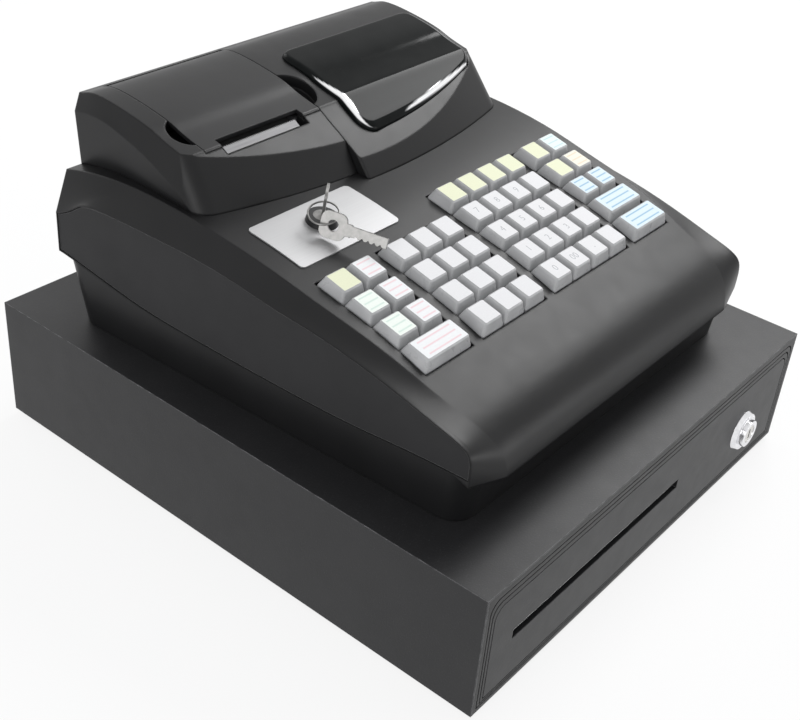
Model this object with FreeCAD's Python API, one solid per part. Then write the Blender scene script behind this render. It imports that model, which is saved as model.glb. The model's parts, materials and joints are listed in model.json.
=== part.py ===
import FreeCAD, Part
import math
import os

# Ticket register: a low steel cash drawer with an electronic register standing on it.
# Millimetres, +X to the right, -Y to the front where the drawer opens, +Z up.
# The drawer unit is drawn about the centre of its case, with z = 0 under the case floor.
# The register is drawn about the same centre, with z = 0 on top of the drawer case.

V = FreeCAD.Vector

# Drawer case of folded steel sheet
case_width = 336.0
case_depth = 368.0
case_height = 79.5
case_sheet = 1.2
feet_height = 4.0
feet_radius = 11.0
feet_taper_share = 0.86
feet_inset = 26.0
overrun = 20.0
seat_gap = 0.3
fit_gap = 0.05
edge_break = 0.3

# Front frame round the drawer
frame_side = 8.5
frame_top = 12.0
frame_bottom = 6.0
frame_depth = 12.0
frame_corner = 8.0
frame_groove_width = 0.8
frame_groove_depth = 1.0
frame_groove_shares = (0.35, 0.68)
front_gap = 0.8
front_thickness = 3.0
front_corner = 7.2

# Drawer tray, rails and rollers
tray_sheet = 1.0
tray_side_room = 20.0
tray_floor = 8.0
tray_top = 62.0
tray_rear_room = 34.0
roller_radius = 6.5
roller_width = 6.5
roller_axle_radius = 2.0
roller_height = 22.7
roller_run_gap = 0.04
case_roller_setback = 26.0
tray_roller_inset = 12.0
rail_sheet = 1.2
rail_reach = 9.4
rail_front_gap = 2.0
rail_rear_gap = 12.0
rail_headroom = 1.6
tray_rail_reach = 10.0
tray_rail_setback = 6.0
rail_bracket_length = 24.0
side_play = 0.8

# Media slot and front lock
slot_inset = 19.2
slot_length = 167.5
slot_low = 34.0
slot_high = 40.5
lock_inset = 46.7
lock_z = 32.0
lock_radius = 9.0
lock_ring_radius = 13.5
lock_ring_depth = 3.0
lock_ring_slope_share = 0.4
lock_face_proud = 6.0
lock_plug_radius = 6.0
lock_mark_radius = 0.9
lock_mark_count = 3
lock_mark_angle = 45.0
lock_keyway_width = 1.6
lock_keyway_height = 7.0
lock_keyway_depth = 4.0
cam_length = 27.5
cam_width = 7.0
cam_thickness = 2.0
cam_setback = 16.0
cam_window_share = 0.7
catch_height = 7.0
catch_width = 16.0
catch_setback = 5.0

# Till insert with bill and coin compartments
till_wall = 2.0
till_play = 1.0
till_front_room = 24.0
till_floor = 21.0
till_top = 60.0
till_divider_top = 54.0
till_columns = 4
coin_rows = 2
coin_row_depth = 58.0
coin_scoop_radius = 18.0
clip_rod_radius = 2.0
clip_rod_height = 57.0
clip_rod_inset = 9.0
clip_hub_radius = 3.8
clip_hub_width = 16.0
clip_arm_length = 78.0
clip_arm_width = 7.0
clip_arm_thickness = 1.6
clip_pad_width = 26.0
clip_pad_length = 20.0
clip_pad_corner = 4.8
clip_floor_gap = 1.0

# Latch and solenoid behind the tray
latch_height = 22.0
latch_thickness = 3.0
latch_pivot_setback = 15.0
latch_pivot_radius = 2.5
latch_boss_radius = 5.0
latch_pin_radius = 2.0
latch_pin_reach = 9.0
latch_pin_rise = 6.0
latch_pin_half = 6.0
latch_lug_thickness = 1.5
latch_arm_height = 6.0
latch_beak_width = 4.0
latch_tail_length = 9.0
latch_released_angle = 24.0
latch_link_gap = 0.4
latch_link_radius = 1.8
solenoid_width = 22.0
solenoid_height = 26.0
solenoid_low = 38.0
solenoid_depth = 14.0
plunger_radius = 3.5
plunger_length = 18.0
bracket_sheet = 2.0
bracket_half_width = 24.0

# Register body on top of the case
deck_height = 97.1
body_half_depth = 152.5
side_half_width = 143.6
side_taper_share = 0.029
shell_open_share = 0.4
shell_wall = 3.0
side_wall = 4.0
panel_recess = 0.5
panel_thickness = 1.9
panel_rim = 1.1
panel_tip_height = 4.4
panel_tip_length = 19.5
seam_line = 0.35
pan_floor = 3.0
pan_front = -141.8
pan_rear = 141.0
pan_half_width = 147.0
pan_taper_share = 0.033
pan_corner = 14.0
pan_top_spread = 5.5
pan_top_front = -147.2
pan_rise_share = 0.5

# Deck edge from the rear down to the front lip: along the depth, half width, height
deck_edge_shares = (
    (1.0000, 0.9640, 0.940),
    (0.7710, 0.9440, 1.000),
    (0.5310, 0.9250, 1.000),
    (0.2430, 0.9260, 0.976),
    (-0.0110, 0.9230, 0.925),
    (-0.1930, 0.9160, 0.866),
    (-0.3840, 0.9060, 0.805),
    (-0.5790, 0.8890, 0.720),
    (-0.7570, 0.8670, 0.617),
    (-0.8760, 0.8450, 0.545),
    (-0.9490, 0.8240, 0.470),
    (-0.9870, 0.8060, 0.375),
    (-0.9990, 0.8010, 0.267),
)
# Upper edge of the side panel: along the depth, height
panel_edge_shares = (
    (1.0000, 0.690),
    (0.8930, 0.778),
    (0.7760, 0.842),
    (0.4790, 0.853),
    (0.2720, 0.850),
    (0.0740, 0.826),
    (-0.1170, 0.785),
    (-0.3000, 0.758),
    (-0.5600, 0.686),
    (-0.7810, 0.598),
    (-0.8890, 0.552),
    (-0.9410, 0.511),
    (-0.9600, 0.440),
    (-0.9600, 0.305),
)
# Seam between the upper and the lower case: along the depth, height
seam_shares = (
    (1.0000, 0.428),
    (0.8350, 0.392),
    (0.6070, 0.335),
    (0.3860, 0.306),
    (0.0000, 0.292),
    (-0.4070, 0.294),
    (-0.6570, 0.319),
    (-0.8400, 0.338),
    (-0.9150, 0.330),
    (-0.9600, 0.305),
)

# Keyboard plane and blocks of keys
key_slope_angle = 14.1
key_pitch = 19.5
key_plane_y = -55.4
key_plane_z = 83.5
key_gap = 0.6
key_top_size = 14.6
key_top_corner = 0.8
key_base_corner = 1.8
key_taper_height = 6.6
key_skirt_height = 3.0
key_stem_size = 5.0
key_stem_length = 9.0
key_label_inset = 0.7
key_label_rise = 0.4
block_clearance = 0.5
guide_depth = 13.6
guide_thickness = 3.0
guide_half_width = 126.0
guide_margin = 5.0
guide_hole_gap = 0.3
guide_boss_radius = 3.0
left_block_x = -101.2
middle_block_x = -43.5
right_block_x = 33.5
far_block_x = 99.8

# Silver plate and mode lock on the deck
plate_left = -118.0
plate_right = -38.0
plate_front = -14.0
plate_rear = 27.5
plate_thickness = 0.8
plate_corner = 3.0
mode_x = -78.0
mode_y = 9.5
mode_z = 92.0
mode_lean_angle = 8.0
mode_barrel_radius = 9.5
mode_barrel_top_radius = 8.7
mode_barrel_height = 3.6
mode_shank_radius = 8.0
mode_shank_length = 22.0
mode_plug_radius = 5.5
mode_plug_length = 17.6
key_facing_angle = 36.3
key_metal = 1.5
key_bow_width = 15.0
key_bow_height = 15.0
key_bow_corner = 4.2
key_neck_width = 7.0
key_neck_height = 3.0
key_bow_hole = 3.2
key_blade_length = 21.0
key_blade_width = 5.8
key_cut_depth = 1.3
key_cut_count = 5
ring_radius = 8.5
ring_wire = 0.5
ring_hang_angle = 20.0
ring_drop = 1.7
spare_place_angle = 50.0
spare_drop = 2.0
spare_lean_angle = 18.0
spare_turn_angle = 15.0
spare_dip_angle = 6.0

# Hump over the rear deck: printer on the left, display on the right
hump_rear = 152.5
hump_front_limit = 15.0
hump_foot_half = 127.0
hump_band_half = 130.0
hump_top_half = 126.0
hump_root = 80.0
hump_height = 138.0
hump_split = -21.0
hump_split_gap = 0.4
hump_corner = 12.0
pod_inner_corner = 1.6
printer_foot_front = 32.7
printer_foot_bow = 456.0
printer_brow_front = 44.0
printer_brow_bow = 619.0
printer_brow_height = 112.0
display_foot_front = 24.5
display_foot_bow = 600.0
display_brow_front = 40.5
display_brow_bow = 420.0
display_brow_height = 115.0
hump_foot_height = 94.5
hump_block_top = 150.0

# Top of the hump from rear to front: along the depth, height
hump_top_shares = (
    (1.0000, 0.976),
    (0.9540, 0.991),
    (0.9050, 1.000),
    (0.7930, 0.993),
    (0.6290, 0.964),
    (0.5440, 0.935),
    (0.4460, 0.909),
    (0.4260, 0.899),
    (0.3610, 0.855),
    (0.2950, 0.812),
    (0.1700, 0.725),
    (0.0983, 0.672),
)
# Lower edge of the bevel along the sides of the hump: along the depth, height
hump_bevel_shares = (
    (1.0000, 0.903),
    (0.8500, 0.916),
    (0.7380, 0.891),
    (0.6290, 0.855),
    (0.5250, 0.804),
    (0.4200, 0.751),
    (0.3200, 0.710),
    (0.0983, 0.640),
)

# Printer bay, cover and paper
cover_left = -112.0
cover_side_gap = 0.5
cover_front = 65.0
cover_gap = 0.4
cover_thickness = 2.4
cover_hinge_y = 143.0
cover_barrel_radius = 4.5
cover_hinge_gap = 1.1
cover_pin_radius = 1.5
cover_pin_length = 2.5
ledge_depth = 3.0
bay_left = -99.0
bay_right = -33.0
bay_front = 70.0
bay_rear = 137.0
bay_floor = 99.0
bay_wall = 2.2
roll_y = 112.0
roll_z = 105.0
roll_radius = 22.0
roll_width = 57.5
roll_core_radius = 6.0
roll_trough_gap = 2.5
spindle_radius = 3.0
spindle_reach = 3.0
platen_y = 80.0
platen_z = 116.0
platen_radius = 5.0
platen_shaft_radius = 1.6
mechanism_cheek = 3.0
mechanism_rear = 88.0
mechanism_top = 118.0
slot_x_left = -100.0
slot_x_right = -35.0
slot_y_front = 60.5
slot_y_rear = 71.0
slot_floor = 108.0
tear_right = -43.0
tear_proud = 0.3
tear_depth = 3.0
tear_tooth = 0.75
finger_width = 8.0
finger_front = 72.0
finger_rear = 95.0
finger_depth = 8.0
thumb_width = 12.0
thumb_front = 70.0
thumb_rear = 101.0
thumb_depth = 7.0

# Display lens
lens_left = -4.0
lens_right = 120.0
lens_front = 40.8
lens_rear = 118.0
lens_rise = 3.0
lens_seat = 1.6
lens_corner = 10.0
lens_front_bow = 420.0

# Power inlet and rocker switch at the rear of the lower case
inlet_x = 92.0
inlet_z = 20.0
inlet_width = 27.0
inlet_height = 20.0
inlet_face = 151.0
inlet_length = 16.0
inlet_pocket_width = 21.0
inlet_pocket_height = 14.0
inlet_pocket_depth = 12.0
inlet_pocket_corner = 3.5
inlet_pin_width = 1.8
inlet_pin_height = 4.0
inlet_pin_pitch = 6.5
inlet_pin_length = 6.0
switch_x = 56.0
switch_width = 14.0
switch_frame_wall = 1.5
rocker_angle = 8.0
rocker_depth = 6.0
rocker_gap = 0.5
rocker_end_gap = 1.0
rocker_under_gap = 3.0
rocker_pin_radius = 1.2
rocker_pin_reach = 0.9

# Values worked out from the sizes above
case_half_width = case_width / 2
case_front = -case_depth / 2
case_rear = case_depth / 2
case_inner_half = case_half_width - case_sheet
opening_half = case_half_width - frame_side
opening_top = case_height - frame_top
front_half = opening_half - front_gap
front_low = frame_bottom + front_gap
front_high = opening_top - front_gap
slot_left = slot_inset - front_half
slot_right = slot_left + slot_length
lock_x = front_half - lock_inset
tray_half_width = case_half_width - tray_side_room
tray_rear = case_rear - tray_rear_room
rail_web = tray_half_width + tray_rail_reach + side_play
rail_low = roller_height - roller_radius - roller_run_gap - rail_sheet
rail_high = roller_height + roller_radius + roller_run_gap + rail_sheet + rail_headroom
rail_front = case_front + frame_depth + rail_front_gap
rail_rear = case_rear - case_sheet - rail_rear_gap
roller_x = rail_web - side_play - roller_width / 2
case_roller_y = case_front + case_roller_setback
tray_roller_y = tray_rear - tray_roller_inset
till_half_width = tray_half_width - tray_sheet - till_play
till_front = case_front + front_thickness + tray_sheet + till_front_room
till_rear = tray_rear - tray_sheet - till_play
till_cell = (2 * till_half_width - (till_columns + 1) * till_wall) / till_columns
bill_depth = till_rear - till_front - (coin_rows + 2) * till_wall - coin_rows * coin_row_depth
clip_rod_y = till_rear - clip_rod_inset
latch_pivot_y = case_rear - case_sheet - latch_pivot_setback
latch_pin_y = tray_rear + latch_pin_reach
centre_shift = lock_face_proud / 2
register_base = feet_height + case_height
key_sin = math.sin(math.radians(key_slope_angle))
key_cos = math.cos(math.radians(key_slope_angle))
key_cap_height = key_taper_height + key_skirt_height
cover_right = hump_split - cover_side_gap
above_hump = hump_height + overrun * 2
quarter_arc_share = 1 - math.sqrt(0.5)


def box(x0, x1, y0, y1, z0, z1):
    """Box between three pairs of planes."""
    return Part.makeBox(x1 - x0, y1 - y0, z1 - z0, V(x0, y0, z0))


def rod(centre, direction, radius, length):
    """Cylinder centred on a point along a direction."""
    axis = V(direction).normalize()
    return Part.makeCylinder(radius, length, centre - axis * (length / 2), axis)


def post(base, direction, radius, length):
    """Cylinder that starts at a point and runs along a direction."""
    return Part.makeCylinder(radius, length, base, V(direction))


def face_of(points):
    """Flat face with straight edges through the points."""
    return Part.Face(Part.makePolygon(list(points) + [points[0]]))


def prism(points, travel):
    """Straight-edged outline pushed along a vector."""
    return face_of(points).extrude(travel)


def rounded_wire(corners, radii):
    """Closed flat wire with a tangent arc at each corner that has a radius."""
    count = len(corners)
    entries = []
    exits = []
    middles = []
    for i in range(count):
        corner = corners[i]
        back = (corners[i - 1] - corner).normalize()
        ahead = (corners[(i + 1) % count] - corner).normalize()
        half = back.getAngle(ahead) / 2
        reach = radii[i] / math.tan(half)
        entries.append(corner + back * reach)
        exits.append(corner + ahead * reach)
        inward = (back + ahead).normalize()
        middles.append(corner + inward * (radii[i] / math.sin(half) - radii[i]))
    edges = []
    for i in range(count):
        if radii[i] > 0:
            edges.append(Part.Arc(entries[i], middles[i], exits[i]).toShape())
        following = entries[(i + 1) % count]
        if (following - exits[i]).Length > fit_gap:
            edges.append(Part.LineSegment(exits[i], following).toShape())
    return Part.Wire(edges)


def rounded_block(x0, x1, y0, y1, z0, z1, radius):
    """Upright block with rounded vertical edges."""
    corners = [V(x0, y0, z0), V(x1, y0, z0), V(x1, y1, z0), V(x0, y1, z0)]
    return Part.Face(rounded_wire(corners, [radius] * len(corners))).extrude(V(0, 0, z1 - z0))


def rounded_plate(x0, x1, z0, z1, y0, y1, low_radius, high_radius):
    """Upright plate, its outline in X and Z, with its own radius low and high."""
    corners = [V(x0, y0, z0), V(x1, y0, z0), V(x1, y0, z1), V(x0, y0, z1)]
    radii = [low_radius, low_radius, high_radius, high_radius]
    return Part.Face(rounded_wire(corners, radii)).extrude(V(0, y1 - y0, 0))


def mirror_x(shape):
    """The same piece on the other side."""
    return shape.mirror(V(0, 0, 0), V(1, 0, 0))


def both_sides(shape):
    """The piece and its mirror image as two solids."""
    return Part.makeCompound([shape, mirror_x(shape)])


def export(name, shape, lift):
    """Writes one piece at its height above the feet, its front to rear middle at zero."""
    placed = shape.copy()
    placed.translate(V(0, centre_shift, lift))
    placed.exportStep("parts/" + name + ".step")
    print(name, len(placed.Solids), placed.isValid(), round(placed.Volume))


# Drawer unit

def case_rail():
    """Right rail, a channel held off the case wall by two brackets, with the roller's axle."""
    inner = rail_web - rail_reach
    outer = rail_web + rail_sheet
    web = box(rail_web, outer, rail_front, rail_rear, rail_low, rail_high + rail_sheet)
    low = box(inner, outer, rail_front, rail_rear, rail_low, rail_low + rail_sheet)
    high = box(inner, outer, rail_front, rail_rear, rail_high, rail_high + rail_sheet)
    rail = web.fuse([low, high])
    for y0 in (rail_front, rail_rear - rail_bracket_length):
        y1 = y0 + rail_bracket_length
        rail = rail.fuse(box(rail_web, case_inner_half, y0, y1, rail_low, rail_low + rail_sheet))
    well = rod(V(roller_x, case_roller_y, roller_height), V(1, 0, 0),
               roller_radius + side_play, rail_reach + roller_width)
    rail = rail.cut(well)
    axle_length = rail_web - roller_x + roller_width / 2
    axle_start = V(rail_web, case_roller_y, roller_height)
    rail = rail.fuse(post(axle_start, V(-1, 0, 0), roller_axle_radius, axle_length))
    web_patch = post(axle_start, V(1, 0, 0), roller_radius + side_play, rail_sheet)
    return rail.fuse(web_patch)


def drawer_case():
    """Folded box, open at the front, with the two rails and the catch of the front lock."""
    outer = box(-case_half_width, case_half_width, case_front, case_rear, 0, case_height)
    inner = box(-case_inner_half, case_inner_half, case_front - overrun, case_rear - case_sheet,
                case_sheet, case_height - case_sheet)
    shell = outer.cut(inner)
    catch_y = case_front + front_thickness + tray_sheet + cam_setback - catch_setback
    catch = box(lock_x - catch_width / 2, lock_x + catch_width / 2, catch_y,
                catch_y + bracket_sheet, case_sheet, catch_height)
    right = case_rail()
    return shell.fuse([right, mirror_x(right), catch]).removeSplitter()


def drawer_bezel():
    """Moulded frame in the mouth of the case, with fine grooves round its face."""
    half = case_inner_half - fit_gap
    y0 = case_front
    y1 = case_front + frame_depth
    z0 = case_sheet + fit_gap
    z1 = case_height - case_sheet - fit_gap
    frame = box(-half, half, y0, y1, z0, z1)
    hole = rounded_plate(-opening_half, opening_half, frame_bottom, opening_top,
                         y0 - overrun, y1 + overrun, edge_break, frame_corner)
    frame = frame.cut(hole)
    for share in frame_groove_shares:
        edge_x = opening_half + (half - opening_half) * share
        edge_top = opening_top + (z1 - opening_top) * share
        edge_low = frame_bottom - (frame_bottom - z0) * share
        width = frame_groove_width
        wide = rounded_plate(-edge_x, edge_x, edge_low, edge_top, y0 - overrun,
                             y0 + frame_groove_depth, edge_break, frame_corner)
        slim = rounded_plate(-edge_x + width, edge_x - width, edge_low + width, edge_top - width,
                             y0 - overrun, y0 + frame_groove_depth, edge_break, frame_corner)
        frame = frame.cut(wide.cut(slim))
    return frame


def roller_pair(y):
    """Two rollers on one line across the drawer, with a running bore."""
    roller = rod(V(roller_x, y, roller_height), V(1, 0, 0), roller_radius, roller_width)
    bore = rod(V(roller_x, y, roller_height), V(1, 0, 0), roller_axle_radius + fit_gap,
               roller_width + overrun)
    return both_sides(roller.cut(bore))


def rubber_feet():
    """Four round feet under the corners of the case."""
    feet = []
    for sx in (-1, 1):
        for sy in (-1, 1):
            base = V(sx * (case_half_width - feet_inset), sy * (case_rear - feet_inset), -feet_height)
            feet.append(Part.makeCone(feet_radius * feet_taper_share, feet_radius, feet_height,
                                      base, V(0, 0, 1)))
    return Part.makeCompound(feet)


def drawer_tray():
    """Folded tray with side rails, roller axles, slot and lock hole, and the welded striker."""
    y0 = case_front + front_thickness
    outer = box(-tray_half_width, tray_half_width, y0, tray_rear, tray_floor, tray_top)
    inner = box(-tray_half_width + tray_sheet, tray_half_width - tray_sheet, y0 + tray_sheet,
                tray_rear - tray_sheet, tray_floor + tray_sheet, tray_top + overrun)
    tray = outer.cut(inner)
    rail_z = roller_height + roller_radius + roller_run_gap
    rail = box(tray_half_width, tray_half_width + tray_rail_reach, y0 + tray_rail_setback, tray_rear,
               rail_z, rail_z + rail_sheet)
    axle = post(V(tray_half_width, tray_roller_y, roller_height), V(1, 0, 0), roller_axle_radius,
                roller_x + roller_width / 2 - tray_half_width)
    tray = tray.fuse([rail, mirror_x(rail), axle, mirror_x(axle)])
    pin_z = latch_height + latch_pin_rise
    reach = latch_pin_y + latch_pin_radius * 2
    striker = [rod(V(0, latch_pin_y, pin_z), V(1, 0, 0), latch_pin_radius, latch_pin_half * 2)]
    for side in (-1, 1):
        x0 = side * latch_pin_half
        x1 = side * (latch_pin_half + latch_lug_thickness)
        striker.append(box(min(x0, x1), max(x0, x1), tray_rear, reach,
                           pin_z - latch_pin_radius * 2, pin_z + latch_pin_radius * 2))
    slot = box(slot_left, slot_right, y0 - overrun, y0 + tray_sheet + till_wall, slot_low, slot_high)
    barrel = rod(V(lock_x, y0, lock_z), V(0, 1, 0), lock_radius + seat_gap, overrun)
    cam_y = y0 + tray_sheet + cam_setback
    sweep = box(lock_x - cam_width, lock_x + cam_length * cam_window_share, cam_y - cam_thickness,
                cam_y + cam_thickness * 2, tray_floor - overrun, tray_floor + tray_sheet)
    return Part.makeCompound([tray.cut(slot.fuse([barrel, sweep]))] + striker)


def drawer_front():
    """Front panel of the drawer with the media slot and the lock's hole."""
    y0 = case_front
    y1 = case_front + front_thickness
    panel = rounded_plate(-front_half, front_half, front_low, front_high, y0, y1,
                          edge_break, front_corner)
    slot = box(slot_left, slot_right, y0 - overrun, y1 + overrun, slot_low, slot_high)
    hole = rod(V(lock_x, y0, lock_z), V(0, 1, 0), lock_radius + seat_gap, overrun)
    return panel.cut(slot).cut(hole)


def lock_ring():
    """Fixed body of the front lock: a bright ring and a sleeve through the panel."""
    face = case_front
    ring = Part.makeCone(lock_ring_radius, lock_ring_radius - lock_ring_depth * lock_ring_slope_share,
                         lock_ring_depth, V(lock_x, face, lock_z), V(0, -1, 0))
    nose = Part.makeCone(lock_radius + seat_gap * 2, lock_radius, lock_face_proud,
                         V(lock_x, face, lock_z), V(0, -1, 0))
    sleeve = post(V(lock_x, face, lock_z), V(0, 1, 0), lock_radius, cam_setback + front_thickness)
    bore = rod(V(lock_x, face, lock_z), V(0, 1, 0), lock_plug_radius + fit_gap, overrun * 3)
    body = ring.fuse([nose, sleeve]).cut(bore)
    for i in range(lock_mark_count):
        angle = math.radians((i + 1) * lock_mark_angle)
        mark_reach = (lock_ring_radius + lock_radius) / 2
        spot = V(lock_x + mark_reach * math.cos(angle), face - lock_ring_depth,
                 lock_z + mark_reach * math.sin(angle))
        body = body.cut(Part.makeSphere(lock_mark_radius, spot))
    return body


def lock_plug():
    """Turning plug of the front lock with its keyway and cam, drawn unlocked."""
    face = case_front - lock_face_proud + seat_gap
    cam_y = case_front + front_thickness + tray_sheet + cam_setback
    plug = post(V(lock_x, face, lock_z), V(0, 1, 0), lock_plug_radius, cam_y + cam_thickness - face)
    keyway = box(lock_x - lock_keyway_width / 2, lock_x + lock_keyway_width / 2, face,
                 face + lock_keyway_depth, lock_z - lock_keyway_height / 2,
                 lock_z + lock_keyway_height / 2)
    cam = box(lock_x, lock_x + cam_length, cam_y, cam_y + cam_thickness,
              lock_z - cam_width / 2, lock_z + cam_width / 2)
    hub = post(V(lock_x, cam_y, lock_z), V(0, 1, 0), cam_width, cam_thickness)
    return plug.cut(keyway).fuse([cam, hub])


def till_insert():
    """Moulded insert: scooped coin cups in front, long bill compartments behind."""
    outer = box(-till_half_width, till_half_width, till_front, till_rear, till_floor, till_top)
    cell = till_cell
    cell_floor = till_floor + till_wall
    cuts = []
    for column in range(till_columns):
        x0 = -till_half_width + till_wall + column * (cell + till_wall)
        for row in range(coin_rows):
            y0 = till_front + till_wall + row * (coin_row_depth + till_wall)
            y1 = y0 + coin_row_depth
            corners = [V(x0, y0, cell_floor), V(x0, y1, cell_floor),
                       V(x0, y1, till_top + overrun), V(x0, y0, till_top + overrun)]
            outline = rounded_wire(corners, [coin_scoop_radius, coin_scoop_radius, 0, 0])
            cuts.append(Part.Face(outline).extrude(V(cell, 0, 0)))
        y0 = till_rear - till_wall - bill_depth
        cuts.append(box(x0, x0 + cell, y0, till_rear - till_wall, cell_floor, till_top + overrun))
    bank = outer.cut(Part.makeCompound(cuts))
    lowered = box(-till_half_width + till_wall, till_half_width - till_wall,
                  till_front + till_wall, till_rear - till_wall, till_divider_top, till_top + overrun)
    bank = bank.cut(lowered)
    skirt = box(till_half_width - till_wall, till_half_width, till_front, till_rear,
                tray_floor + tray_sheet, till_floor)
    bank = bank.fuse([skirt, mirror_x(skirt)])
    return bank.cut(rod(V(0, clip_rod_y, clip_rod_height), V(1, 0, 0), clip_rod_radius,
                        till_half_width * 2 - till_wall))


def clip_rod():
    """Steel rod across the rear of the bill compartments, held in the side walls."""
    return rod(V(0, clip_rod_y, clip_rod_height), V(1, 0, 0), clip_rod_radius,
               till_half_width * 2 - till_wall)


def bill_clip(x):
    """Spring clip: hub on the rod, slim arm and bent pad that presses on the bills."""
    pad_z = till_floor + till_wall + clip_floor_gap
    drop = clip_rod_height - pad_z
    run = math.sqrt(clip_arm_length ** 2 - drop ** 2)
    hub = rod(V(x, clip_rod_y, clip_rod_height), V(1, 0, 0), clip_hub_radius, clip_hub_width)
    tip_y = clip_rod_y - run
    t = clip_arm_thickness
    side = [V(x - clip_arm_width / 2, clip_rod_y, clip_rod_height + t / 2),
            V(x - clip_arm_width / 2, tip_y, pad_z + t),
            V(x - clip_arm_width / 2, tip_y, pad_z),
            V(x - clip_arm_width / 2, clip_rod_y, clip_rod_height - t / 2)]
    arm = prism(side, V(clip_arm_width, 0, 0))
    pad = rounded_block(x - clip_pad_width / 2, x + clip_pad_width / 2,
                        tip_y - clip_pad_length, tip_y + t * 2, pad_z, pad_z + t, clip_pad_corner)
    bore = rod(V(x, clip_rod_y, clip_rod_height), V(1, 0, 0), clip_rod_radius + fit_gap,
               clip_hub_width * 2)
    return hub.fuse([arm, pad]).cut(bore)


def latch_pivot():
    """Pivot of the latch hook, on a line across the drawer."""
    return V(0, latch_pivot_y, latch_height)


def latch_hook():
    """Upright hook whose beak stands before the tray's pin, drawn in its released place."""
    x0 = -latch_thickness / 2
    x1 = latch_thickness / 2
    beak_y = latch_pin_y - latch_pin_radius - seat_gap
    beak_top = latch_height + latch_pin_rise + latch_pin_radius
    low = latch_height - latch_arm_height / 2
    high = latch_height + latch_arm_height / 2
    arm = box(x0, x1, beak_y - latch_beak_width, latch_pivot_y, low, high)
    beak = box(x0, x1, beak_y - latch_beak_width, beak_y, low, beak_top)
    tail = box(x0, x1, latch_pivot_y, latch_pivot_y + latch_tail_length, low, high)
    boss = rod(latch_pivot(), V(1, 0, 0), latch_boss_radius, latch_thickness)
    hook = arm.fuse([beak, boss, tail])
    hook = hook.cut(rod(latch_pivot(), V(1, 0, 0), latch_pivot_radius + fit_gap, overrun))
    hook.rotate(latch_pivot(), V(1, 0, 0), latch_released_angle)
    return hook


def solenoid_y():
    """Depth of the solenoid's axis, over the tail of the hook."""
    return case_rear - case_sheet - bracket_sheet - solenoid_depth / 2


def solenoid():
    """Release solenoid and the bent bracket that carries it and the hook's pivot."""
    rear = case_rear - case_sheet
    base = box(-bracket_half_width, bracket_half_width, latch_pivot_y - latch_boss_radius, rear,
               case_sheet, case_sheet + bracket_sheet)
    back = box(-bracket_half_width, bracket_half_width, rear - bracket_sheet, rear, case_sheet,
               solenoid_low + solenoid_height)
    body = base.fuse(back)
    for side in (-1, 1):
        x0 = side * (latch_thickness / 2 + seat_gap)
        x1 = side * (latch_thickness / 2 + seat_gap + bracket_sheet)
        body = body.fuse(box(min(x0, x1), max(x0, x1), latch_pivot_y - latch_boss_radius,
                             latch_pivot_y + latch_boss_radius, case_sheet,
                             latch_height + latch_boss_radius))
    body = body.fuse(rod(latch_pivot(), V(1, 0, 0), latch_pivot_radius,
                         latch_thickness + (seat_gap + bracket_sheet) * 2))
    coil = box(-solenoid_width / 2, solenoid_width / 2, solenoid_y() - solenoid_depth / 2,
               rear - bracket_sheet, solenoid_low, solenoid_low + solenoid_height)
    bore = post(V(0, solenoid_y(), solenoid_low), V(0, 0, 1), plunger_radius + seat_gap,
                solenoid_height - bracket_sheet)
    return body.fuse(coil).cut(bore)


def plunger():
    """Solenoid plunger, drawn in, with the thin link down to the hook's tail."""
    angle = math.radians(latch_released_angle)
    reach = solenoid_y() - latch_pivot_y
    tail_top = latch_height + (reach * math.sin(angle) + latch_arm_height / 2) / math.cos(angle)
    link_low = tail_top + latch_link_radius * math.tan(angle) + latch_link_gap
    centre_z = solenoid_low + solenoid_height - bracket_sheet * 2 - plunger_length
    core = post(V(0, solenoid_y(), centre_z), V(0, 0, 1), plunger_radius, plunger_length)
    link = post(V(0, solenoid_y(), link_low), V(0, 0, 1), latch_link_radius, centre_z - link_low)
    return core.fuse(link)


# Register body

def side_x(y, inset):
    """Half width of the flat side at a depth, less an inset."""
    return side_half_width + side_taper_share * y - inset


def profile_parameters(shares):
    """Even parameters for a curve through a row of points."""
    return [float(i) for i in range(len(shares))]


def curve(points):
    """Smooth edge through the points with even parameters."""
    line = Part.BSplineCurve()
    line.interpolate(Points=points, Parameters=profile_parameters(points))
    return line.toShape()


def offset_profile(points, distance):
    """Points of a curve in the Y and Z plane moved square to it, inward when positive."""
    moved = []
    for i, point in enumerate(points):
        before = points[max(i - 1, 0)]
        after = points[min(i + 1, len(points) - 1)]
        along = V(0, after.y - before.y, after.z - before.z).normalize()
        normal = V(0, -along.z, along.y)
        moved.append(point + normal * distance)
    return moved


def deck_points(side, inset):
    """Deck edge on one side, moved in by the wall for the inside of the shell."""
    points = [V(0, ys * body_half_depth, zs * deck_height) for ys, xs, zs in deck_edge_shares]
    points = offset_profile(points, inset)
    edge = []
    for point, (ys, xs, zs) in zip(points, deck_edge_shares):
        edge.append(V(side * (xs * side_half_width - inset), point.y, point.z))
    return edge


def on_side(side, inset, pairs):
    """Points on the flat side plane of the body."""
    return [V(side * side_x(y, inset), y, z) for y, z in pairs]


def panel_pairs(inset):
    """Upper edge of the side panel in depth and height."""
    points = [V(0, ys * body_half_depth, zs * deck_height) for ys, zs in panel_edge_shares]
    return [(p.y, p.z) for p in offset_profile(points, inset)]


def seam_pairs():
    """Seam of the two case halves in depth and height."""
    return [(ys * body_half_depth, zs * deck_height) for ys, zs in seam_shares]


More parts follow.
